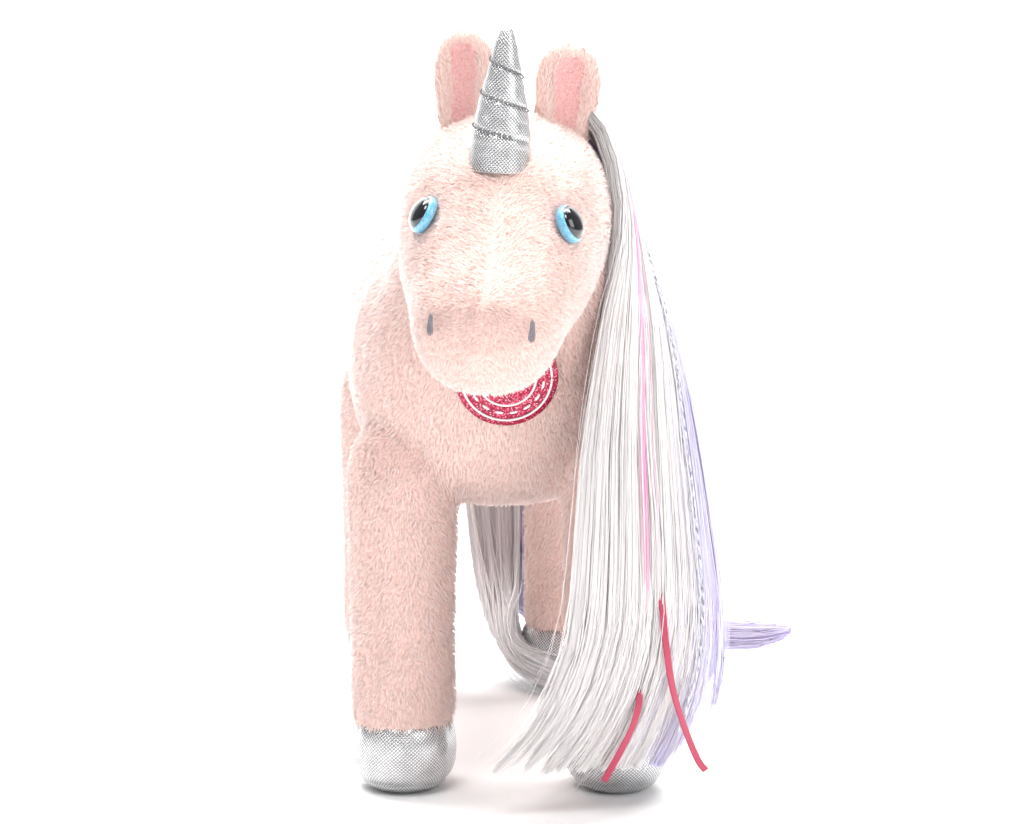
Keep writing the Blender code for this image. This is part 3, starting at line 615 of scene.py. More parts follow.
def ribbons(name, paths, facing, widths, look, tones, seed=0, lean=(0, 0, 0), rolled=0.0):
    """Flat strands along paths, each facing a given way, with a tone and a width at each point."""
    count, steps = paths.shape[:2]
    down = unit(np.gradient(paths, axis=1))
    facing = unit(facing + np.array(lean))
    facing = unit(facing - down * (facing * down).sum(-1)[..., None])
    spin = np.random.default_rng(seed + 3).uniform(-rolled, rolled, (count, 1, 1))
    broad = facing * np.cos(spin) + np.cross(down, facing) * np.sin(spin)
    side = unit(np.cross(down, broad)) * (widths / 2)[..., None]
    verts = np.stack([paths - side, paths + side], 2)
    base = (np.arange(count) * steps * 2)[:, None, None] + (np.arange(steps - 1) * 2)[None, :, None]
    quads = (base + np.array([0, 1, 3, 2])).reshape(-1, 4)
    mesh = make_mesh(name, verts, [quads])
    add_tone(mesh, np.repeat(tones, 2, axis=1) if tones.ndim == 2 else tones)
    low = np.linspace(0.1, 0.9, steps)
    corner = np.stack([np.stack([np.full(steps - 1, x), low[:-1] if k in (0, 1) else low[1:]], -1)
                       for k, x in enumerate((0.2, 0.8, 0.8, 0.2))], 1)
    cell = np.repeat(np.arange(count), (steps - 1) * 4)
    add_cells(mesh, cell, np.tile(corner.reshape(-1, 2), (count, 1)), count)
    outward = unit(facing - down * (facing * down).sum(-1)[..., None])
    rng = np.random.default_rng(seed)
    roll = rng.uniform(-0.8, 0.8, (count, 1))[..., None]
    rounded = unit(outward + unit(side) * roll)
    mesh.normals_split_custom_set_from_vertices(np.repeat(rounded, 2, axis=1).reshape(-1, 3).tolist())
    return make_object(name, mesh, look)


def build_locks(name, guides, outside, spans, look, seed, locks, strands, half, width=0.00024, steps=16,
                begin=0.0, ends=(0.93, 1.0), splay=1.0, bunch=0.55, fly=0.05, lift=0.0, lean=(0, 0, 0.3)):
    """Hair in bunches: strands spread round each bunch's own path over the hair sheet."""
    rng = np.random.default_rng(seed)
    low, high = spans
    s = np.linspace(0, 1, steps)
    total = locks * strands
    home = low + (high - low) * (np.arange(locks) + rng.uniform(0.2, 0.8, locks)) / locks
    layer = rng.uniform(-1, 1, locks)
    finish = rng.uniform(ends[0], ends[1], locks)
    which = np.repeat(np.arange(locks), strands)
    angle = rng.uniform(0, 2 * np.pi, total)
    radius = np.sqrt(rng.random(total))
    across = radius * np.cos(angle)
    deep = radius * np.sin(angle)
    end = np.clip(finish[which] + rng.normal(0, 0.018, total), 0.5, 1.0)
    start = begin + rng.uniform(0, 0.015, total)
    place = start[:, None] + (end - start)[:, None] * s[None]
    t_home = np.repeat(home[which][:, None], steps, 1)
    here, side, out = sheet_frame(guides, t_home.ravel(), place.ravel(), outside)
    here, side, out = (part.reshape(total, steps, 3) for part in (here, side, out))
    spread = sheet_width(guides, s) * (high - low) / locks * 0.95
    gather = 1 - bunch * np.clip((place - 0.55) / 0.45, 0, 1) ** 1.5
    span = np.interp(place, s, spread) * gather
    thick = half * np.clip(place / 0.16, 0.25, 1) * (1 - 0.45 * np.clip((place - 0.6) / 0.4, 0, 1))
    wander = np.random.default_rng(seed + 7).normal(0, 1, (locks, 4))
    bend = (wander[which, 0:1] * np.sin(place * 5 + wander[which, 1:2] * 3)
            + wander[which, 2:3] * 0.5 * np.sin(place * 11 + wander[which, 3:4] * 3))
    sway = bend * 0.0011 * splay * np.clip((place - 0.1) / 0.5, 0, 1)
    own = rng.normal(0, 1, (total, 3))
    strand_bend = own[:, 0:1] * np.sin(place * 6 + own[:, 1:2] * 3) * 0.0006 * splay * place
    wild = (rng.random(total) < fly)[:, None]
    stray = np.where(wild, own[:, 2:3] * 0.0032 * splay * place ** 1.5, 0)
    paths = (here + side * (across[:, None] * span + sway + strand_bend + stray)[..., None]
             + out * (lift + (deep[:, None] * 0.75 + layer[which][:, None] * 0.45) * thick
                      + np.abs(stray) * 0.4)[..., None])
    widths = width * np.clip((1.02 - s[None]) / 0.12, 0.35, 1) * rng.uniform(0.75, 1.3, total)[:, None]
    shade = rng.normal(0.60, 0.15, total) + layer[which] * 0.07 + deep * 0.10
    tones = np.clip(shade[:, None] + 0.10 * np.sin(place * 7 + own[:, 1:2]), 0, 1)
    paths = moved(paths, ANIMAL)
    paths[..., 2] = np.maximum(paths[..., 2], 0.0022 + 0.001 * rng.random(total)[:, None])
    return ribbons(name, paths, out, widths, look, tones, seed, lean, 0.6)


def sheet_width(guides, s):
    """How wide a hair sheet is at fractions s down it."""
    line = np.linspace(0, 1, 9)
    total = np.zeros(len(s))
    for near, far in zip(line, line[1:]):
        total += np.linalg.norm(sheet_at(guides, np.full(len(s), far), s)
                                - sheet_at(guides, np.full(len(s), near), s), axis=1)
    return total


def build_core(name, guides, outside, spans, look, thickness, rows=30, across=12, begin=0.0, end=0.9,
               inwards=0.0008):
    """The solid middle of a lock, which thin strands then cover."""
    s = np.linspace(begin, end, rows)
    t = np.linspace(spans[0], spans[1], across)
    tt, ss = np.meshgrid(t, s)
    here, _, out = sheet_frame(guides, tt.ravel(), ss.ravel(), outside)
    here, out = here.reshape(rows, across, 3), out.reshape(rows, across, 3)
    edge = np.sqrt(np.clip(1 - (2 * (tt - spans[0]) / (spans[1] - spans[0]) - 1) ** 4, 0.02, 1))
    taper = np.clip(0.35 + (ss - begin) / 0.12, 0, 1) * np.clip((end - ss) / 0.25 + 0.12, 0, 1)
    grain = 1 + 0.28 * np.sin(tt * 95 + 2 * np.sin(ss * 3)) + 0.2 * np.sin(tt * 213 + ss * 4)
    half = (thickness / 2 * edge * taper)[..., None]
    front = here + out * (half * grain[..., None] - inwards)
    back = here - out * (half + inwards)
    rings = np.concatenate([front, back[:, ::-1]], 1)
    return loft(name, moved(rings, ANIMAL), look)


# ---------------------------------------------------------------- materials

def new_material(name):
    look = bpy.data.materials.new(name)
    look.use_nodes = True
    shader = look.node_tree.nodes["Principled BSDF"]
    return look, look.node_tree, shader


def node(tree, kind, **settings):
    made = tree.nodes.new(kind)
    for key, value in settings.items():
        if key in made.inputs:
            made.inputs[key].default_value = value
        else:
            setattr(made, key, value)
    return made


def ramp(tree, fac, *stops):
    """A colour ramp over fac, with stops of (position, colour)."""
    made = tree.nodes.new("ShaderNodeValToRGB")
    while len(made.color_ramp.elements) < len(stops):
        made.color_ramp.elements.new(0.5)
    for element, (position, colour) in zip(made.color_ramp.elements, stops):
        element.position = position
        element.color = (*colour, 1)
    tree.links.new(fac, made.inputs["Fac"])
    return made.outputs["Color"]


def noise(tree, scale, detail=2.0, roughness=0.5):
    """Noise over the piece's own coordinates, scale in lumps to the metre."""
    where = tree.nodes.new("ShaderNodeTexCoord")
    made = node(tree, "ShaderNodeTexNoise", Scale=scale, Detail=detail, Roughness=roughness)
    tree.links.new(where.outputs["Object"], made.inputs["Vector"])
    return made.outputs["Fac"]


def mixed(tree, first, second, fac, blend="MIX"):
    made = tree.nodes.new("ShaderNodeMix")
    made.data_type = "RGBA"
    made.blend_type = blend
    sockets = [socket for socket in made.inputs if socket.type == "RGBA"]
    for socket, value in zip(sockets, (first, second)):
        if isinstance(value, tuple):
            socket.default_value = (*value, 1)
        else:
            tree.links.new(value, socket)
    if isinstance(fac, float):
        made.inputs["Factor"].default_value = fac
    else:
        tree.links.new(fac, made.inputs["Factor"])
    return next(socket for socket in made.outputs if socket.type == "RGBA")


def bump(tree, shader, height, distance, strength=1.0):
    made = node(tree, "ShaderNodeBump", Strength=strength, Distance=distance)
    tree.links.new(height, made.inputs["Height"])
    tree.links.new(made.outputs["Normal"], shader.inputs["Normal"])
    return made


def plush_material(name, deep, pale, tip=None):
    """Pile: blades take their tone from root to tip, darker at the root as painted shade and lighter at the tip
    as painted light, and a skin without tones reads as root.
    """
    look, tree, shader = new_material(name)
    tone = node(tree, "ShaderNodeAttribute", attribute_name="tone")
    shade = ramp(tree, tone.outputs["Fac"], (0.0, deep), (0.45, pale), (1.0, tip or pale))
    patch = ramp(tree, noise(tree, 90, 3.0), (0.3, (0.94, 0.92, 0.92)), (0.7, (1.0, 1.0, 1.0)))
    colour = mixed(tree, shade, patch, 1.0, "MULTIPLY")
    tree.links.new(colour, shader.inputs["Base Color"])
    shader.inputs["Roughness"].default_value = 0.92
    shader.inputs["Specular IOR Level"].default_value = 0.15
    shader.inputs["Sheen Weight"].default_value = 0.35
    shader.inputs["Sheen Roughness"].default_value = 0.45
    return look


def skin_material(name, deep, pale):
    """The knitted backing seen between the blades, coloured darker than the pile as painted shade between them.
    """
    look, tree, shader = new_material(name)
    fine = noise(tree, 900, 3.0, 0.6)
    tree.links.new(ramp(tree, fine, (0.35, deep), (0.65, pale)), shader.inputs["Base Color"])
    shader.inputs["Roughness"].default_value = 0.96
    shader.inputs["Specular IOR Level"].default_value = 0.1
    shader.inputs["Sheen Weight"].default_value = 0.3
    bump(tree, shader, fine, 0.0008)
    return look


def hair_material(name, shadow, middle, light, roughness=0.38, sheen=0.2):
    look, tree, shader = new_material(name)
    tone = node(tree, "ShaderNodeAttribute", attribute_name="tone")
    shade = ramp(tree, tone.outputs["Fac"], (0.0, shadow), (0.5, middle), (1.0, light))
    tree.links.new(shade, shader.inputs["Base Color"])
    shader.inputs["Roughness"].default_value = roughness
    shader.inputs["Specular IOR Level"].default_value = 0.45
    shader.inputs["Sheen Weight"].default_value = sheen
    return look


def core_material(name, shadow, light):
    look, tree, shader = new_material(name)
    fine = noise(tree, 500, 3.0, 0.6)
    tree.links.new(ramp(tree, fine, (0.3, shadow), (0.7, light)), shader.inputs["Base Color"])
    shader.inputs["Roughness"].default_value = 0.6
    bump(tree, shader, fine, 0.0004)
    return look


def foil_material():
    """Silver cloth printed all over with small bright dots."""
    look, tree, shader = new_material("silver_foil_cloth")
    where = tree.nodes.new("ShaderNodeUVMap")
    where.uv_map = "cloth"
    dots = node(tree, "ShaderNodeTexVoronoi", Scale=1.0, Randomness=0.06)
    tree.links.new(where.outputs["UV"], dots.inputs["Vector"])
    spot = ramp(tree, dots.outputs["Distance"], (0.26, (1, 1, 1)), (0.46, (0, 0, 0)))
    cloudy = noise(tree, 160, 4.0)
    cloth = ramp(tree, cloudy, (0.3, (0.27, 0.272, 0.275)), (0.7, (0.38, 0.383, 0.39)))
    bright = ramp(tree, cloudy, (0.3, (0.74, 0.745, 0.75)), (0.7, (0.94, 0.945, 0.95)))
    tree.links.new(mixed(tree, cloth, bright, spot), shader.inputs["Base Color"])
    shader.inputs["Metallic"].default_value = 0.85
    shader.inputs["Roughness"].default_value = 0.27
    bump(tree, shader, spot, 0.00012, 0.8)
    return look


def thread_material(name, dark, light):
    look, tree, shader = new_material(name)
    fine = noise(tree, 2500, 2.0)
    tree.links.new(ramp(tree, fine, (0.3, dark), (0.7, light)), shader.inputs["Base Color"])
    shader.inputs["Roughness"].default_value = 0.75
    bump(tree, shader, fine, 0.0002)
    return look


def glossy_material(name, dark, light, coat=1.0, roughness=0.12):
    look, tree, shader = new_material(name)
    tree.links.new(ramp(tree, noise(tree, 700, 2.0), (0.3, dark), (0.7, light)), shader.inputs["Base Color"])
    shader.inputs["Roughness"].default_value = roughness
    shader.inputs["Coat Weight"].default_value = coat
    shader.inputs["Coat Roughness"].default_value = 0.03
    return look


def iris_material():
    """Sky-blue paint, finely mottled between a darker and a lighter blue."""
    look, tree, shader = new_material("eye_blue_paint")
    rays = noise(tree, 1400, 3.0, 0.7)
    tree.links.new(ramp(tree, rays, (0.25, (0.07, 0.30, 0.50)), (0.75, (0.26, 0.62, 0.80))),
                   shader.inputs["Base Color"])
    shader.inputs["Roughness"].default_value = 0.2
    shader.inputs["Coat Weight"].default_value = 0.8
    shader.inputs["Coat Roughness"].default_value = 0.04
    return look


def glitter_material():
    """Crimson glitter: flakes of many tones that each tip their own way; the palest, pink-white flakes are
    painted glints.
    """
    look, tree, shader = new_material("crimson_glitter")
    where = tree.nodes.new("ShaderNodeTexCoord")
    flakes = node(tree, "ShaderNodeTexVoronoi", Scale=2600.0)
    tree.links.new(where.outputs["Object"], flakes.inputs["Vector"])
    split = tree.nodes.new("ShaderNodeSeparateColor")
    tree.links.new(flakes.outputs["Color"], split.inputs["Color"])
    # The pale pink top stop paints glints on the brightest flakes.
    shade = ramp(tree, split.outputs["Red"], (0.0, (0.10, 0.002, 0.012)), (0.45, (0.36, 0.008, 0.045)),
                 (0.8, (0.62, 0.03, 0.10)), (1.0, (0.95, 0.42, 0.50)))
    tree.links.new(shade, shader.inputs["Base Color"])
    shader.inputs["Metallic"].default_value = 0.35
    shader.inputs["Roughness"].default_value = 0.3
    bump(tree, shader, split.outputs["Green"], 0.0004)
    return look


def ribbon_material():
    """Satin ribbon, with the fine ribs of its weave across it."""
    look, tree, shader = new_material("satin_ribbon")
    where = tree.nodes.new("ShaderNodeUVMap")
    where.uv_map = "cloth"
    ribs = node(tree, "ShaderNodeTexWave", Scale=0.6, Distortion=0.6)
    tree.links.new(where.outputs["UV"], ribs.inputs["Vector"])
    shade = ramp(tree, ribs.outputs["Fac"], (0.0, (0.40, 0.028, 0.075)), (1.0, (0.52, 0.055, 0.12)))
    tree.links.new(shade, shader.inputs["Base Color"])
    shader.inputs["Roughness"].default_value = 0.38
    shader.inputs["Sheen Weight"].default_value = 0.3
    bump(tree, shader, ribs.outputs["Fac"], 0.00006)
    return look


def tape_material():
    look, tree, shader = new_material("woven_tape")
    where = tree.nodes.new("ShaderNodeTexCoord")
    weave = node(tree, "ShaderNodeTexChecker", Scale=1600.0)
    tree.links.new(where.outputs["Object"], weave.inputs["Vector"])
    shade = ramp(tree, weave.outputs["Fac"], (0.0, (0.70, 0.62, 0.66)), (1.0, (0.82, 0.76, 0.79)))
    tree.links.new(shade, shader.inputs["Base Color"])
    shader.inputs["Roughness"].default_value = 0.85
    bump(tree, shader, weave.outputs["Fac"], 0.0002)
    return look


# Pile colours: a darker root as painted shade, the pale middle, and a lighter tip as painted light.
PLUSH_ROOT_SHADE = (0.70, 0.42, 0.37)
PLUSH_PALE = (0.87, 0.655, 0.60)
PLUSH_TIP_LIGHT = (0.93, 0.755, 0.70)


def make_materials():
    return {
        "pile": plush_material("pink_pile", PLUSH_ROOT_SHADE, PLUSH_PALE, PLUSH_TIP_LIGHT),
        # The backing is darker than the pile: painted shade between the blades.
        "skin": skin_material("pink_backing", (0.76, 0.50, 0.45), (0.84, 0.60, 0.54)),
        # The ear lining's deeper pink is partly its fabric's own and partly painted shade inside the cup; its
        # backing is darker still as painted shade between the blades.
        "lining_pile": plush_material("lining_pile", (0.66, 0.34, 0.33), (0.86, 0.57, 0.53), (0.90, 0.65, 0.61)),
        "lining": skin_material("lining_backing", (0.74, 0.36, 0.35), (0.84, 0.48, 0.46)),
        "foil": foil_material(),
        "dark_thread": thread_material("grey_thread", (0.10, 0.10, 0.105), (0.22, 0.22, 0.225)),
        "nostril": thread_material("nostril_thread", (0.13, 0.12, 0.13), (0.27, 0.25, 0.27)),
        "white_thread": thread_material("white_embroidery", (0.72, 0.70, 0.72), (0.92, 0.91, 0.92)),
        "black": glossy_material("eye_black", (0.003, 0.003, 0.004), (0.008, 0.008, 0.010)),
        "blue": iris_material(),
        "white_hair": hair_material("white_hair", (0.66, 0.61, 0.61), (0.80, 0.76, 0.76), (0.91, 0.89, 0.88)),
        # A lighter copy of the white hair for the tail: painted light, since the tail stands in the body's shade.
        "tail_white": hair_material("tail_white_hair", (0.82, 0.80, 0.83), (0.92, 0.91, 0.93),
                                    (0.97, 0.97, 0.97)),
        "lilac_hair": hair_material("lilac_hair", (0.42, 0.36, 0.63), (0.58, 0.53, 0.77), (0.76, 0.73, 0.88)),
        "tail_hair": hair_material("tail_lilac_hair", (0.34, 0.26, 0.55), (0.52, 0.44, 0.72), (0.70, 0.64, 0.85)),
        "pink_hair": hair_material("pink_hair", (0.80, 0.22, 0.48), (0.90, 0.38, 0.60), (0.95, 0.62, 0.76)),
        "white_core": core_material("white_hair_core", (0.70, 0.65, 0.66), (0.80, 0.76, 0.76)),
        "lilac_core": core_material("lilac_hair_core", (0.50, 0.46, 0.66), (0.62, 0.58, 0.76)),
        "tail_core": core_material("tail_hair_core", (0.44, 0.37, 0.64), (0.56, 0.49, 0.74)),
        "tinsel": glossy_material("tinsel", (0.55, 0.56, 0.62), (0.92, 0.93, 0.97), 0.5, 0.16),
        "ribbon": ribbon_material(),
        "tape": tape_material(),
        "glitter": glitter_material(),
        "felt": core_material("crimson_felt", (0.22, 0.004, 0.02), (0.38, 0.012, 0.05)),
    }


LOOK = make_materials()


# ---------------------------------------------------------------- body and legs

def torso_form():
    """The torso with the stump of the neck that goes up inside the head."""
    rows = catmull(BODY_SECTIONS, np.linspace(0, 1, 64))
    rings = body_points(rows, np.arange(64) * 360 / 64, UNDER)
    top = rings[-1]
    centre = top.mean(0)
    stump = [centre + (top - centre) * scale + (0, 0, rise)
             for scale, rise in ((0.98, 0.005), (0.93, 0.011), (0.80, 0.017))]
    return loft("torso_form", moved(np.concatenate([rings, np.array(stump)]), ANIMAL))


def leg_form(name, x, y, hip_z, outline):
    """A leg's column with a round top inside the body."""
    across, deep = outline[0][1], outline[0][2]
    rows = [(hip_z + deep * math.sin(turn), across * math.cos(turn), deep * math.cos(turn))
            for turn in np.radians((80, 60, 40, 20))]
    down = catmull(outline, np.linspace(0, 1, 30))
    rows = np.array(rows + [tuple(row) for row in down])
    around = np.radians(np.arange(48) * 7.5)
    rings = np.stack([np.stack([x + (row[1] - UNDER) * np.cos(around),
                                y + (row[2] - UNDER) * np.sin(around),
                                np.full(48, row[0])], -1) for row in rows])
    return loft("form_" + name, moved(rings, ANIMAL))


def seam_points(points_at, keys, degrees, low, high, matrix, count=160):
    rows = catmull(keys, np.linspace(low, high, count))
    return moved(points_at(rows, [degrees])[:, 0], matrix)


def press_seams(made, seams, depth, reach):
    """Draw a skin in along its sewn lines."""
    verts, _, normals = arrays_of(made.data)
    near = distance_to(verts, seams)
    set_points(made.data, verts - normals * (depth * np.exp(-(near / reach) ** 2))[:, None])


def shortener(seams, least=0.45, reach=0.0022):
    def shorten(points):
        return 1 - (1 - least) * np.exp(-(distance_to(points, seams) / reach) ** 2)
    return shorten


def body_nap(points):
    """The pile of the body lies down and slightly back."""
    nap = np.zeros(points.shape)
    nap[:, 2] = -1
    nap[:, 1] = 0.55
    return nap


def near_leg(x, y, reach):
    def inside(points):
        local = points - np.array(ORIGIN)
        return (local[:, 2] < LEG_SPLIT) & (np.hypot(local[:, 0] - x, local[:, 1] - y) < reach)
    return inside


def build_body():
    """Torso and legs as one skin, cut where each leg starts to swing, with pile all over."""
    forms = [torso_form()] + [leg_form(*leg) for leg in LEGS]
    body = fused("torso_skin", forms, 0.0024, 14, LOOK["skin"])
    seams = np.concatenate([seam_points(body_points, BODY_SECTIONS, side * CHEST_SEAM, 0.42, 0.99, ANIMAL)
                            for side in (1, -1)])
    press_seams(body, seams, 0.0013, 0.0022)
    whole = arrays_of(body.data)
    points, outward = scatter(whole, BLADES_ON_BODY, 11)
    local = points - np.array(ORIGIN)
    keep = (local[:, 2] > 0.0205) & (local[:, 2] < 0.2145)
    under_head = (local[:, 2] > 0.203) & (outward[:, 2] > 0.5)
    keep &= ~under_head
    points, outward = points[keep], outward[keep]
    shorten = shortener(seams)
    taken = np.zeros(len(points), bool)
    for seed, (name, x, y, _, _) in enumerate(LEGS):
        inside = near_leg(x, y, 0.0285)
        skin = split_off(body, "leg_skin_" + name, inside, LOOK["skin"])
        mine = inside(points) & ~taken
        taken |= mine
        pile = build_pile("leg_pile_" + name, points[mine], outward[mine], body_nap, look=LOOK["pile"],
                          seed=100 + seed, shorten=shorten, **BODY_PILE)
        for piece in (skin, pile):
            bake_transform(piece)
        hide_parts("leg_cover_" + name, "leg_stuffing_" + name)
        build_hoof(name, x, y)
    pile = build_pile("torso_pile", points[~taken], outward[~taken], body_nap, look=LOOK["pile"], seed=140,
                      shorten=shorten, **BODY_PILE)
    for piece in (body, pile):
        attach(piece, "body")
    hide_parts("body_side_left", "body_side_right", "chest_and_belly_gusset", "body_stuffing")


def cloth_uv(mesh, coordinates):
    """A layout in cloth millimetres, for patterns that follow the cloth. One pair for each point."""
    layer = mesh.uv_layers.new(name="cloth")
    corners = np.empty(len(mesh.loops), np.int32)
    mesh.loops.foreach_get("vertex_index", corners)
    layer.data.foreach_set("uv", np.asarray(coordinates, np.float32)[corners].ravel())


def on_the_bias(coordinates):
    """Cloth coordinates turned so that the rows of dots run diagonally, one dot to the unit."""
    across, up = coordinates[:, 0], coordinates[:, 1]
    return np.stack([across + up, across - up], -1) * (0.7071 / FOIL_PITCH)


def build_hoof(name, x, y):
    """A puffed foil hoof with a flat sole, gathered a little under the plush."""
    around = 72
    rows = catmull(HOOF_PROFILE, np.linspace(0, 1, 34))
    turn = np.arange(around) * 2 * np.pi / around
    rng = np.random.default_rng(len(name) * 7 + int(1000 * (x + 1)))
    gathers = sum(rng.uniform(0.3, 1) * np.sin(k * turn + rng.uniform(0, 6)) for k in (7, 11, 16, 23)) / 3
    rings = []
    for z, radius in rows:
        pull = np.clip((z - 0.010) / 0.016, 0, 1) ** 1.5
        crease = 0.00075 * gathers * pull
        seam = -0.0006 * math.exp(-((z - 0.0042) / 0.0009) ** 2)
        r = radius + crease + seam
        toe = 1 + 0.035 * np.clip(-np.sin(turn), 0, 1)
        rings.append(np.stack([x + r * np.cos(turn), y + r * toe * np.sin(turn), np.full(around, z)], -1))
    for scale in (0.8, 0.4):
        last = rings[-1]
        centre = np.array((x, y, last[0, 2]))
        rings.append(centre + (last - centre) * scale * (1, 1, 0) - (0, 0, 0.0004 * (1 - scale)))
    made = loft("foil_hoof_" + name, moved(np.array(rings), ANIMAL), LOOK["foil"])
    verts = arrays_of(made.data)[0] - np.array(ORIGIN) - (x, y, 0)
    angle = np.arctan2(verts[:, 1], verts[:, 0])
    flat = np.hypot(verts[:, 0], verts[:, 1])
    coordinates = np.stack([angle * 0.018, verts[:, 2]], -1)
    coordinates[flat < 0.0105] = verts[flat < 0.0105, :2]
    cloth_uv(made.data, on_the_bias(coordinates))
    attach(made, "leg_" + name)
    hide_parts("hoof_" + name)


# ---------------------------------------------------------------- head

def head_nap(points):
    """The pile of the face runs from the nose back over the head, and down over the cheeks."""
    local = moved(points, HEAD.inverted())
    nap = np.tile(np.array(HEAD_BACK - HEAD_NOSE) / 0.128, (len(points), 1))
    nap[:, 2] -= 1.1
    nap[:, 0] += np.sign(local[:, 0]) * 0.35
    return nap


def build_head():
    """The head's skin, pressed in along the face seams, round the eyes and at the nostrils."""
    rows = catmull(HEAD_SECTIONS, np.linspace(0, 1, 90))
    rings = head_points(rows, np.arange(80) * 4.5, UNDER)
    form = loft("head_form", moved(rings, HEAD))
    head = fused("head_skin", [form], 0.0019, 6, LOOK["skin"])
    seams = np.concatenate([seam_points(head_points, HEAD_SECTIONS, side * FACE_SEAM, 0.06, 0.985, HEAD)
                            for side in (1, -1)])
    press_seams(head, seams, 0.0012, 0.0020)
    eyes = [eye_frame(side) for side in (1, -1)]
    nostrils = [surface_frame(head_points, HEAD_SECTIONS, NOSTRIL_ALONG, side * NOSTRIL_ANGLE, HEAD)
                for side in (1, -1)]
    press_seams(head, [eye.translation for eye in eyes], 0.0020, 0.0085)
    marks = [np.array(place @ Vector((0, h, 0))) for place in nostrils for h in np.linspace(-0.0035, 0.0035, 9)]
    press_seams(head, marks, 0.0010, 0.0028)
    skin = arrays_of(head.data)
    points, outward = scatter(skin, BLADES_ON_HEAD, 21)
    local = moved(points, HEAD.inverted())
    keep = np.hypot(local[:, 0], local[:, 1]) > 0.030
    keep |= local[:, 2] > 0.2035
    for eye in eyes:
        keep &= distance_to(points, [eye.translation]) > EYE_RADIUS * 0.93
    horn_foot = HEAD @ Vector((HORN_X, HORN_Y - NECK_Y, 0.233))
    keep &= distance_to(points, [horn_foot]) > 0.0088
    points, outward = points[keep], outward[keep]
    on_seam = shortener(seams, 0.5)
    by_eye = shortener([eye.translation for eye in eyes], 0.45, 0.0088)
    by_nostril = shortener(marks, 0.3, 0.0028)

    def shorten(places):
        return on_seam(places) * by_eye(places) * by_nostril(places)
    pile = build_pile("head_pile", points, outward, head_nap, look=LOOK["pile"], seed=200, shorten=shorten,
                      **HEAD_PILE)
    for piece in (head, pile):
        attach(piece, "head")
    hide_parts("head_side_left", "head_side_right", "face_gusset", "head_stuffing",
                "eye_washer_left", "eye_washer_right")
    for place, name in zip(eyes, ("left", "right")):
        build_eye(place, name)
    for place, name in zip(nostrils, ("left", "right")):
        build_nostril(place, name)


def eye_frame(side):
    """Where an eye sits: on the cheek, sunk a little, and turned slightly forwards."""
    place = surface_frame(head_points, HEAD_SECTIONS, EYE_ALONG, side * EYE_ANGLE, HEAD)
    centre = place.translation + Vector((side * EYE_SHIFT, 0, EYE_RISE))
    turn = Matrix.Rotation(math.radians(side * EYE_TURN), 4, "Z")
    place.translation = Vector()
    return Matrix.Translation(centre) @ turn @ place @ Matrix.Translation((0, 0, -EYE_SUNK))


def turned(profile, around=48):
    """Rings of points about +Z from radius and height pairs."""
    turn = np.arange(around) * 2 * np.pi / around
    return np.stack([np.stack([r * np.cos(turn), r * np.sin(turn), np.full(around, z)], -1)
                     for r, z in profile])


def build_eye(place, name):
    """A safety eye: a blue painted rim round a black glass dome."""
    rim = [(0.0012, -0.0028), (EYE_RADIUS * 0.98, -0.0028), (EYE_RADIUS, -0.0016), (EYE_RADIUS * 0.99, -0.0006),
           (EYE_RADIUS * 0.95, 0.0), (EYE_RADIUS * 0.86, 0.0003), (0.0012, 0.0006)]
    iris = loft("eye_rim_" + name, moved(turned(rim), place), LOOK["blue"])
    dome_radius = EYE_RADIUS * 0.89
    bows = np.radians(np.linspace(90, 4, 14))
    dome = [(0.0004, -0.0004)] + [(dome_radius * math.sin(b), -0.0002 + 0.0032 * math.cos(b)) for b in bows]
    glass = loft("eye_glass_" + name, moved(turned(dome), place), LOOK["black"])
    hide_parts("eye_back_" + name)
    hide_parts("eye_dome_" + name)
    for piece, slot in ((iris, "eye_paint"), (glass, "eye_lens")):
        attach(piece, "head")


def thread(points, radius, around=8, ends=0.35):
    """Rings of a round thread along points, thinner at its ends."""
    points = np.asarray(points, float)
    down = unit(np.gradient(points, axis=0))
    guess = np.array((0.31, 0.52, 0.79))
    side = unit(np.cross(down, guess))
    up = np.cross(side, down)
    turn = np.arange(around) * 2 * np.pi / around
    taper = np.ones(len(points))
    taper[0] = taper[-1] = ends
    return (points[:, None] + (side[:, None] * np.cos(turn)[None, :, None]
                               + up[:, None] * np.sin(turn)[None, :, None]) * radius * taper[:, None, None])


def joined_lofts(name, ring_sets, look):
    """Several closed tubes as one piece."""
    verts, quads, fans, count = [], [], [], 0
    for rings in ring_sets:
        rows, around = rings.shape[:2]
        verts.append(rings.reshape(-1, 3))
        quads.append(tube_faces(rows, around) + count)
        for row, flip in ((0, False), (rows - 1, True)):
            ring = count + row * around + np.arange(around)
            middle = count + rows * around + (1 if flip else 0)
            near, far = ring, np.roll(ring, -1)
            fans.append(np.stack([near, np.full(around, middle), far] if not flip
                                 else [near, far, np.full(around, middle)], -1))
        verts.append(np.stack([rings[0].mean(0), rings[-1].mean(0)]))
        count += rows * around + 2
    mesh = make_mesh(name, np.concatenate(verts), [np.concatenate(quads), np.concatenate(fans)])
    turn_outwards(mesh)
    return make_object(name, mesh, look)


def build_nostril(place, name):
    """Satin stitches side by side, in an upright slit."""
    sets = []
    for i in range(4):
        x = (i - 1.5) * 0.00045
        high = 0.0042 - abs(i - 1.5) * 0.0006
        h = np.linspace(-high, high, 9)
        line = np.stack([np.full(9, x) + 0.0002 * np.sin(h * 700 + i), h,
                         0.0009 + 0.0004 * np.cos(h / high * 1.3)], -1)
        sets.append(moved(thread(line, NOSTRIL_THREAD), place))
    made = joined_lofts("nostril_satin_" + name, sets, LOOK["nostril"])
    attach(made, "head")
    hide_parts("nostril_stitch_" + name)


# ---------------------------------------------------------------- horn and ears

def horn_radius(height):
    heights = [z for z, r in HORN_PROFILE]
    return np.interp(height, heights, [r for z, r in HORN_PROFILE])


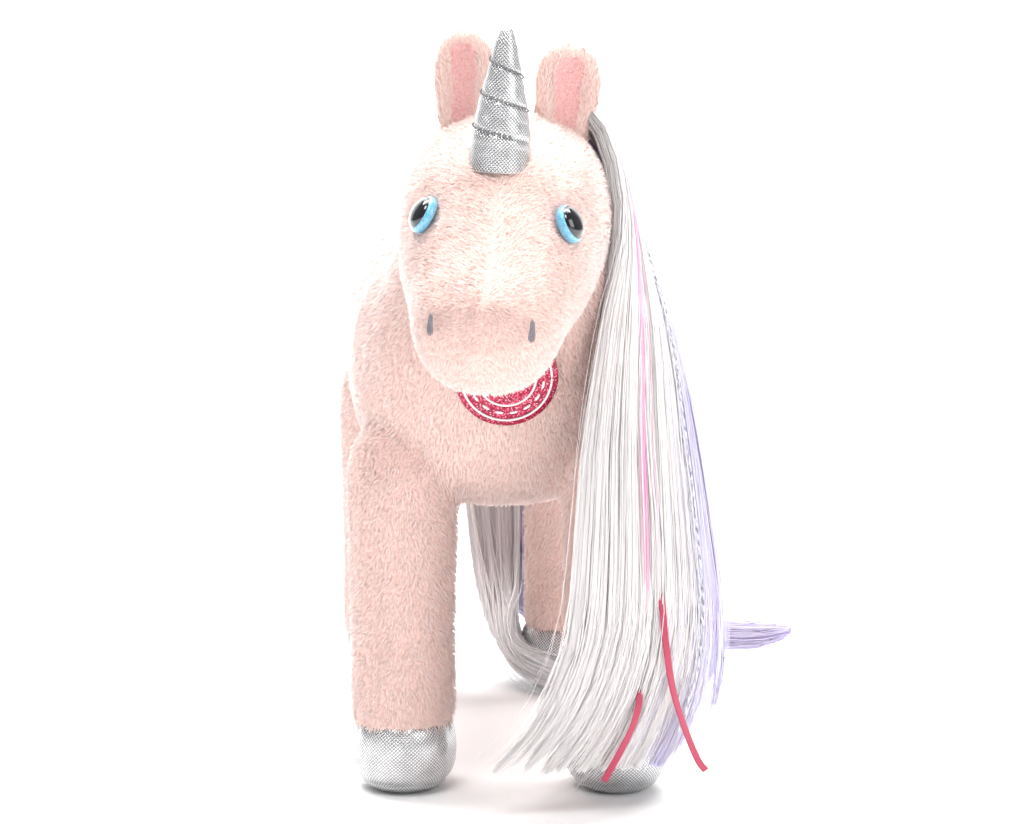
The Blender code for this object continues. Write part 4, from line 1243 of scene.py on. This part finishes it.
def wind_gap(height, turn):
    """How far above the nearest winding groove a point of the horn lies, in metres."""
    phase = (-math.pi / 3 - turn) / (2 * math.pi) * HORN_PITCH + HORN_WIND[0]
    steps = np.round((height - phase) / HORN_PITCH)
    return height - phase - steps * HORN_PITCH


def build_horn():
    """A foil cone puffed between the turns of a wound thread."""
    around, rows = 96, 150
    y = HORN_Y - NECK_Y
    turn = np.arange(around) * 2 * np.pi / around
    heights = np.linspace(HORN_PROFILE[0][0], HORN_PROFILE[-1][0], rows)
    zz, aa = np.meshgrid(heights, turn, indexing="ij")
    gap = wind_gap(zz, aa)
    wound = np.clip((zz - HORN_WIND[0] + 0.004) / 0.004, 0, 1)
    wound = wound * np.clip((HORN_WIND[1] + 0.003 - zz) / 0.003, 0, 1)
    size = horn_radius(zz)
    groove = np.exp(-(gap / 0.0009) ** 2)
    bulge = 1 - (np.abs(gap) / (HORN_PITCH / 2) - 0.5) ** 2 * 4
    radius = size * (1 + HORN_PUFF * bulge * wound) - HORN_GROOVE * groove * wound * (size / 0.010) ** 0.5
    rings = np.stack([HORN_X + radius * np.cos(aa), y + radius * np.sin(aa), zz], -1)
    cap = []
    for scale, rise in ((0.80, 0.0008), (0.45, 0.0014), (0.12, 0.0016)):
        centre = np.array((HORN_X, y, 0))
        last = rings[-1] - centre
        cap.append(last * (scale, scale, 1) + centre + (0, 0, rise))
    rings = np.concatenate([rings, np.array(cap)])
    made = loft("horn_foil", moved(rings, HEAD), LOOK["foil"])
    local = moved(arrays_of(made.data)[0], HEAD.inverted()) - (HORN_X, y, 0)
    angle = np.arctan2(local[:, 0], -local[:, 1])
    sizes = np.maximum(horn_radius(local[:, 2]), 0.003)
    cloth_uv(made.data, on_the_bias(np.stack([angle * sizes, local[:, 2]], -1)))
    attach(made, "head")
    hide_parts("horn_cover", "horn_stuffing")
    low, high = HORN_WIND
    turns = (high - low) / HORN_PITCH
    sets = []
    for i in range(HORN_STITCHES):
        part = (i + np.linspace(0.12, 0.88, 6)) / HORN_STITCHES
        height = low + (high - low) * part
        a = -math.pi / 3 - 2 * math.pi * turns * part
        size = horn_radius(height)
        r = size + 0.0001 + 0.00035 * np.sin(np.linspace(0, math.pi, 6))
        line = np.stack([HORN_X + r * np.cos(a), y + r * np.sin(a), height], -1)
        sets.append(moved(thread(line, HORN_THREAD, 6), HEAD))
    stitching = joined_lofts("horn_thread", sets, LOOK["dark_thread"])
    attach(stitching, "head")
    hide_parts("horn_stitching")


def ear_outline(level):
    """Half the width of an ear leaf at a fraction of its height, rounded over at the top."""
    full = catmull(np.array(EAR_WIDTHS)[:, None], level)[:, 0]
    return full * np.sqrt(np.clip(1 - (np.clip((level - 0.62) / 0.40, 0, 1)) ** 2.6, 0.02, 1))


def ear_shell(side, inset, levels):
    """Rows of points up a cupped ear leaf, drawn in from its outside by inset."""
    height = EAR_TIP - EAR_FOOT - (LEFT_EAR_LOWER if side > 0 else 0)
    out = math.radians(side * EAR_TURN_OUT)
    rows = []
    for level, half in zip(levels, ear_outline(levels)):
        bend = math.radians(EAR_CUP) * (1 - 0.35 * level)
        radius = max(half, 0.004) / math.sin(bend)
        z = height * (1 - (1 - level) ** 1.15) - inset * level * 0.9
        reach = bend * (half / max(half, 0.004)) * (1 - 0.62 * inset / max(half, 0.004))
        a = np.linspace(-reach, reach, 25)
        x = (radius - inset) * np.sin(a)
        y = (radius - inset) * np.cos(a) - radius * math.cos(bend)
        rows.append(np.stack([x * math.cos(out) - y * math.sin(out), x * math.sin(out) + y * math.cos(out),
                              np.full(25, z)], -1))
    return np.array(rows) + (side * EAR_X, EAR_Y - NECK_Y, EAR_FOOT)


def ear_nap(points):
    nap = np.zeros(points.shape)
    nap[:, 2] = 1
    nap[:, 1] = 0.2
    return nap


def build_ear(side):
    """A cupped ear: plush outside, deeper pink lining inside, and a soft rolled rim. The lining's deeper pink is
    partly its fabric's own and partly painted shade inside the cup.
    """
    name = "left" if side > 0 else "right"
    levels = np.linspace(0, 1, 30)
    outer, inner = ear_shell(side, 0.0006, levels), ear_shell(side, 0.0046, levels)
    foot = np.array((0, 0, -0.006))
    outer = np.concatenate([outer[:1] + foot, outer])
    inner = np.concatenate([inner[:1] + foot, inner])
    rings = np.concatenate([outer, inner[:, ::-1]], 1)
    form = loft("ear_form_" + name, moved(rings, HEAD))
    shell = fused("ear_shell_" + name, [form], 0.0010, 5, LOOK["skin"], LOOK["lining"])
    verts, tris, normals = arrays_of(shell.data)
    middles = moved(inner[1:-6, 9:-9].reshape(-1, 3), HEAD)
    backs = moved(outer[1:].reshape(-1, 3), HEAD)

    def lined(points):
        return distance_to(points, middles) + 0.0010 < distance_to(points, backs)
    polygons = np.array([tuple(p.center) for p in shell.data.polygons])
    shell.data.polygons.foreach_set("material_index", lined(polygons).astype(np.int32))
    points, outward = scatter((verts, tris, normals), BLADES_ON_EAR, 31 + side)
    inside = lined(points)
    back = build_pile("ear_pile_" + name, points[~inside], outward[~inside], ear_nap, look=LOOK["pile"],
                      seed=300 + side, **EAR_PILE)
    front = build_pile("ear_lining_pile_" + name, points[inside], outward[inside], ear_nap,
                       look=LOOK["lining_pile"], seed=310 + side, **LINING_PILE)
    for piece, slot in ((shell, "pink_plush"), (back, "pink_plush"), (front, "ear_lining_plush")):
        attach(piece, "ear_" + name)
    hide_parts("ear_back_" + name, "ear_lining_" + name)


# ---------------------------------------------------------------- badge

def build_badge():
    """A round glitter medallion with stitched rings and short dashes between them."""
    place = chest_frame()
    disc = [(0.0004, 0.0003), (BADGE_RADIUS - 0.0004, 0.0003), (BADGE_RADIUS, 0.0008), (BADGE_RADIUS, 0.0019),
            (BADGE_RADIUS - 0.0004, 0.0023), (BADGE_RADIUS * 0.6, 0.0026), (0.0004, 0.0027)]
    made = loft("badge_glitter", moved(turned(disc, 96), place), LOOK["glitter"])
    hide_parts("badge_disc")
    pieces = [made]
    turn = np.linspace(0, 2 * np.pi, 121)
    for name, radius in BADGE_RINGS:
        line = np.stack([radius * np.cos(turn), radius * np.sin(turn),
                         0.0025 + 0.0001 * np.sin(turn * 60)], -1)
        ring = loft("stitched_" + name, moved(thread(line, BADGE_THREAD), place), LOOK["white_thread"])
        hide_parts(name)
        pieces.append(ring)
    sets = []
    for i in range(BADGE_DASHES):
        a = (i + 0.5) * 2 * math.pi / BADGE_DASHES
        arc = a + np.linspace(-0.11, 0.11, 7)
        line = np.stack([BADGE_DASH_RADIUS * np.cos(arc), BADGE_DASH_RADIUS * np.sin(arc),
                         np.full(7, 0.0026)], -1)
        sets.append(moved(thread(line, BADGE_DASH_THREAD), place))
    dashes = joined_lofts("badge_dashes", sets, LOOK["white_thread"])
    pieces.append(dashes)
    for piece in pieces:
        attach(piece, "body")


# ---------------------------------------------------------------- mane and tail

def flat_ribbon(name, points, facing, width, thickness, look):
    """A satin ribbon with square edges along points."""
    points, facing = np.asarray(points, float), np.asarray(facing, float)
    down = unit(np.gradient(points, axis=0))
    side = unit(np.cross(down, facing))
    out = np.cross(side, down)
    corners = ((-1, -1), (-0.5, -1.02), (0, -1.03), (0.5, -1.02), (1, -1),
               (1, 1), (0.5, 1.02), (0, 1.03), (-0.5, 1.02), (-1, 1))
    rings = np.stack([points + side * (u * width / 2) + out * (v * thickness / 2) for u, v in corners], 1)
    made = loft(name, moved(rings, ANIMAL), look)
    length = np.concatenate([[0], np.cumsum(np.linalg.norm(np.diff(points, axis=0), axis=1))])
    rows = np.repeat(length, len(corners)) * 1000
    across = np.tile([u * width / 2 for u, v in corners], len(points)) * 1000
    coordinates = np.concatenate([np.stack([rows, across], -1), [(0, 0), (rows[-1], 0)]])
    cloth_uv(made.data, coordinates)
    return made


def hang(pieces):
    """Bake each hair piece's placement into its points."""
    for piece, slot in pieces:
        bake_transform(piece)


def build_mane():
    """White hair in front, pink strands in it, lilac hair behind with a twist of tinsel."""
    guides = MANE_GUIDES
    pieces = []
    for name, slot, span, thickness, end, across in MANE_CORES:
        core = build_core(name, guides, -1, span, LOOK[slot.replace("hair", "core")], thickness, begin=0.2,
                          end=end, across=across)
        pieces.append((core, slot))
    for name, nodes, slot, seed, span, locks, strands, half, ends, options in MANE_LOCKS:
        hair = build_locks(name, guides, -1, span, LOOK[slot], seed, locks, strands, half, ends=ends,
                           begin=MANE_START, lean=MANE_LEAN, **options)
        if nodes:
            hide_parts(*nodes)
        pieces.append((hair, slot))
    tinsel = build_tinsel(guides)
    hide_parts("mane_tinsel")
    weft = build_core("mane_weft_tape", guides, -1, (0.20, 0.97), LOOK["tape"], 0.0009, rows=8, across=18,
                      begin=0.03, end=0.10, inwards=0.0026)
    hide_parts("mane_weft")
    pieces += [(tinsel, "tinsel"), (weft, "weft_tape")]
    pieces += build_mane_ribbons()
    hang(pieces)


def build_tinsel(guides):
    """Flat silver filaments twisted round each other down the lilac hair."""
    steps = 150
    s = np.linspace(0.04, 0.93, steps)
    paths, facings = [], []
    for k in range(5):
        turn = s * 95 + k * 2 * math.pi / 5
        here, side, out = sheet_frame(guides, np.full(steps, 0.53), s, -1)
        paths.append(here + side * (np.cos(turn) * 0.0008)[:, None]
                     + out * (0.0036 + np.sin(turn) * 0.0008)[:, None])
        facings.append(unit(out * np.cos(turn * 1.7)[:, None] + side * np.sin(turn * 1.7)[:, None]))
    paths = moved(np.array(paths), ANIMAL)
    widths = np.full((5, steps), 0.0006)
    tones = np.tile(np.linspace(0, 1, steps), (5, 1))
    return ribbons("mane_tinsel_twist", paths, np.array(facings), widths, LOOK["tinsel"], tones, 9)


def build_mane_ribbons():
    """Two satin ribbons that come out of the white hair near its lower end."""
    pieces = []
    for name, key, route in (("mane_satin_long", "mane_ribbon_long", RIBBON_LONG),
                             ("mane_satin_short", "mane_ribbon_short", RIBBON_SHORT)):
        s = np.linspace(0, 1, 60)
        points = catmull(route, s)
        facing = unit(np.array((0.1, -1, 0.15)) + np.array((1, 0, 0)) * (0.35 * np.sin(s * 11))[:, None])
        made = flat_ribbon(name, points, facing, 0.0024, 0.0003, LOOK["ribbon"])
        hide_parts(key)
        pieces.append((made, "satin_ribbon"))
    return pieces


def build_tail():
    """White hair that falls between the rear legs, and lilac hair that lies round to the left."""
    guides = TAIL_GUIDES
    core = build_core("tail_lilac_core", guides, 1, (0.32, 0.95), LOOK["tail_core"], 0.0060, rows=44, across=14,
                      end=0.93, inwards=0.0)
    # The falling white hair and its core take the lighter tail white: painted light for the shade under the body.
    fall_core = build_core("tail_white_core", TAIL_FALL, 1, (0.05, 0.95), LOOK["tail_white"], 0.0050, rows=40,
                           across=14, end=0.92, inwards=0.0)
    white = build_locks("tail_white_hair", TAIL_FALL, -1, (0.0, 1.0), LOOK["tail_white"], 501, 18, 180, 0.0042,
                        width=0.00028, steps=22, ends=(0.86, 1.0), splay=1.2, fly=0.06, lift=0.0004,
                        lean=(-0.1, -0.5, 0.4))
    lilac = build_locks("tail_lilac_hair", guides, 1, (0.35, 1.0), LOOK["tail_hair"], 503, 18, 120, 0.0046,
                        width=0.00032, steps=26, ends=(0.90, 1.0), splay=1.0)
    back = build_locks("tail_lilac_under", guides, -1, (0.30, 1.0), LOOK["lilac_hair"], 505, 16, 100, 0.0046,
                       width=0.00030, steps=26, ends=(0.88, 1.0), splay=1.0, lift=0.0010, lean=(-0.1, -0.3, 0.4))
    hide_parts("tail_white_lock")
    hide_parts("tail_lilac_lock")
    weft = build_core("tail_weft_tape", guides, 1, (0.02, 0.98), LOOK["tape"], 0.0012, rows=6, across=10,
                      begin=0.0, end=0.06, inwards=-0.0048)
    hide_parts("tail_weft")
    s = np.linspace(0.18, 0.93, 110)
    here, side, out = sheet_frame(guides, 0.58 + 0.1 * np.sin(s * 5), s, 1)
    points = here + out * 0.0052
    points[:, 2] = np.maximum(points[:, 2], 0.004)
    ribbon = flat_ribbon("tail_satin", points, unit(out + side * (0.3 * np.sin(s * 17))[:, None]), 0.0024,
                         0.0003, LOOK["ribbon"])
    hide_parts("tail_ribbon")
    pieces = [(core, "lilac_hair"), (fall_core, "white_hair"), (white, "white_hair"), (lilac, "lilac_hair"),
              (back, "lilac_hair"), (weft, "weft_tape"), (ribbon, "satin_ribbon")]
    hang(pieces)


# ---------------------------------------------------------------- set, light and camera

def build_stage():
    """A pale floor that sweeps up into a pale wall."""
    look, tree, shader = new_material("studio_floor")
    tree.links.new(ramp(tree, noise(tree, 3, 1.0), (0.3, (0.94, 0.94, 0.945)), (0.7, (0.96, 0.96, 0.96))),
                   shader.inputs["Base Color"])
    shader.inputs["Roughness"].default_value = 0.95
    shader.inputs["Specular IOR Level"].default_value = 0.1
    turn = np.radians(np.linspace(0, 90, 13))
    profile = [(-2.5, 0.0)] + [(2.2 + np.sin(a), 1 - np.cos(a)) for a in turn] + [(3.2, 4.5)]
    verts = np.array([[(-5, y, z), (5, y, z)] for y, z in profile], float)
    steps = np.arange(len(profile) - 1)[:, None] * 2
    floor = make_object("studio_floor", make_mesh("studio_floor", verts, [steps + np.array([0, 1, 3, 2])]), look)


def add_lamp(name, place, target, energy, size):
    data = bpy.data.lights.new(name, "AREA")
    data.energy = energy
    data.shape = "RECTANGLE"
    data.size, data.size_y = size
    lamp = bpy.data.objects.new(name, data)
    bpy.context.scene.collection.objects.link(lamp)
    lamp.location = place
    lamp.rotation_euler = (Vector(target) - Vector(place)).to_track_quat("-Z", "Y").to_euler()


def light_scene():
    world = bpy.data.worlds.new("studio")
    bpy.context.scene.world = world
    world.use_nodes = True
    background = world.node_tree.nodes["Background"]
    background.inputs["Color"].default_value = (1.0, 1.0, 1.0, 1)
    background.inputs["Strength"].default_value = WORLD_STRENGTH
    for lamp in LAMPS:
        add_lamp(*lamp)


def place_camera():
    data = bpy.data.cameras.new("camera")
    data.lens = LENS_MM
    data.sensor_width = 36
    data.clip_start = 0.05
    data.clip_end = 50
    camera = bpy.data.objects.new("camera", data)
    bpy.context.scene.collection.objects.link(camera)
    camera.location = ORIGIN + CAMERA_PLACE
    azimuth, pitch = math.radians(CAMERA_AZIMUTH), math.radians(CAMERA_DROP)
    aim = Vector((math.sin(azimuth) * math.cos(pitch), math.cos(azimuth) * math.cos(pitch), -math.sin(pitch)))
    camera.rotation_euler = aim.to_track_quat("-Z", "Y").to_euler()
    bpy.context.scene.camera = camera


build_body()
build_head()
build_horn()
build_ear(1)
build_ear(-1)
build_badge()
build_mane()
build_tail()
build_stage()
light_scene()
place_camera()
bpy.context.scene.view_settings.view_transform = "Standard"
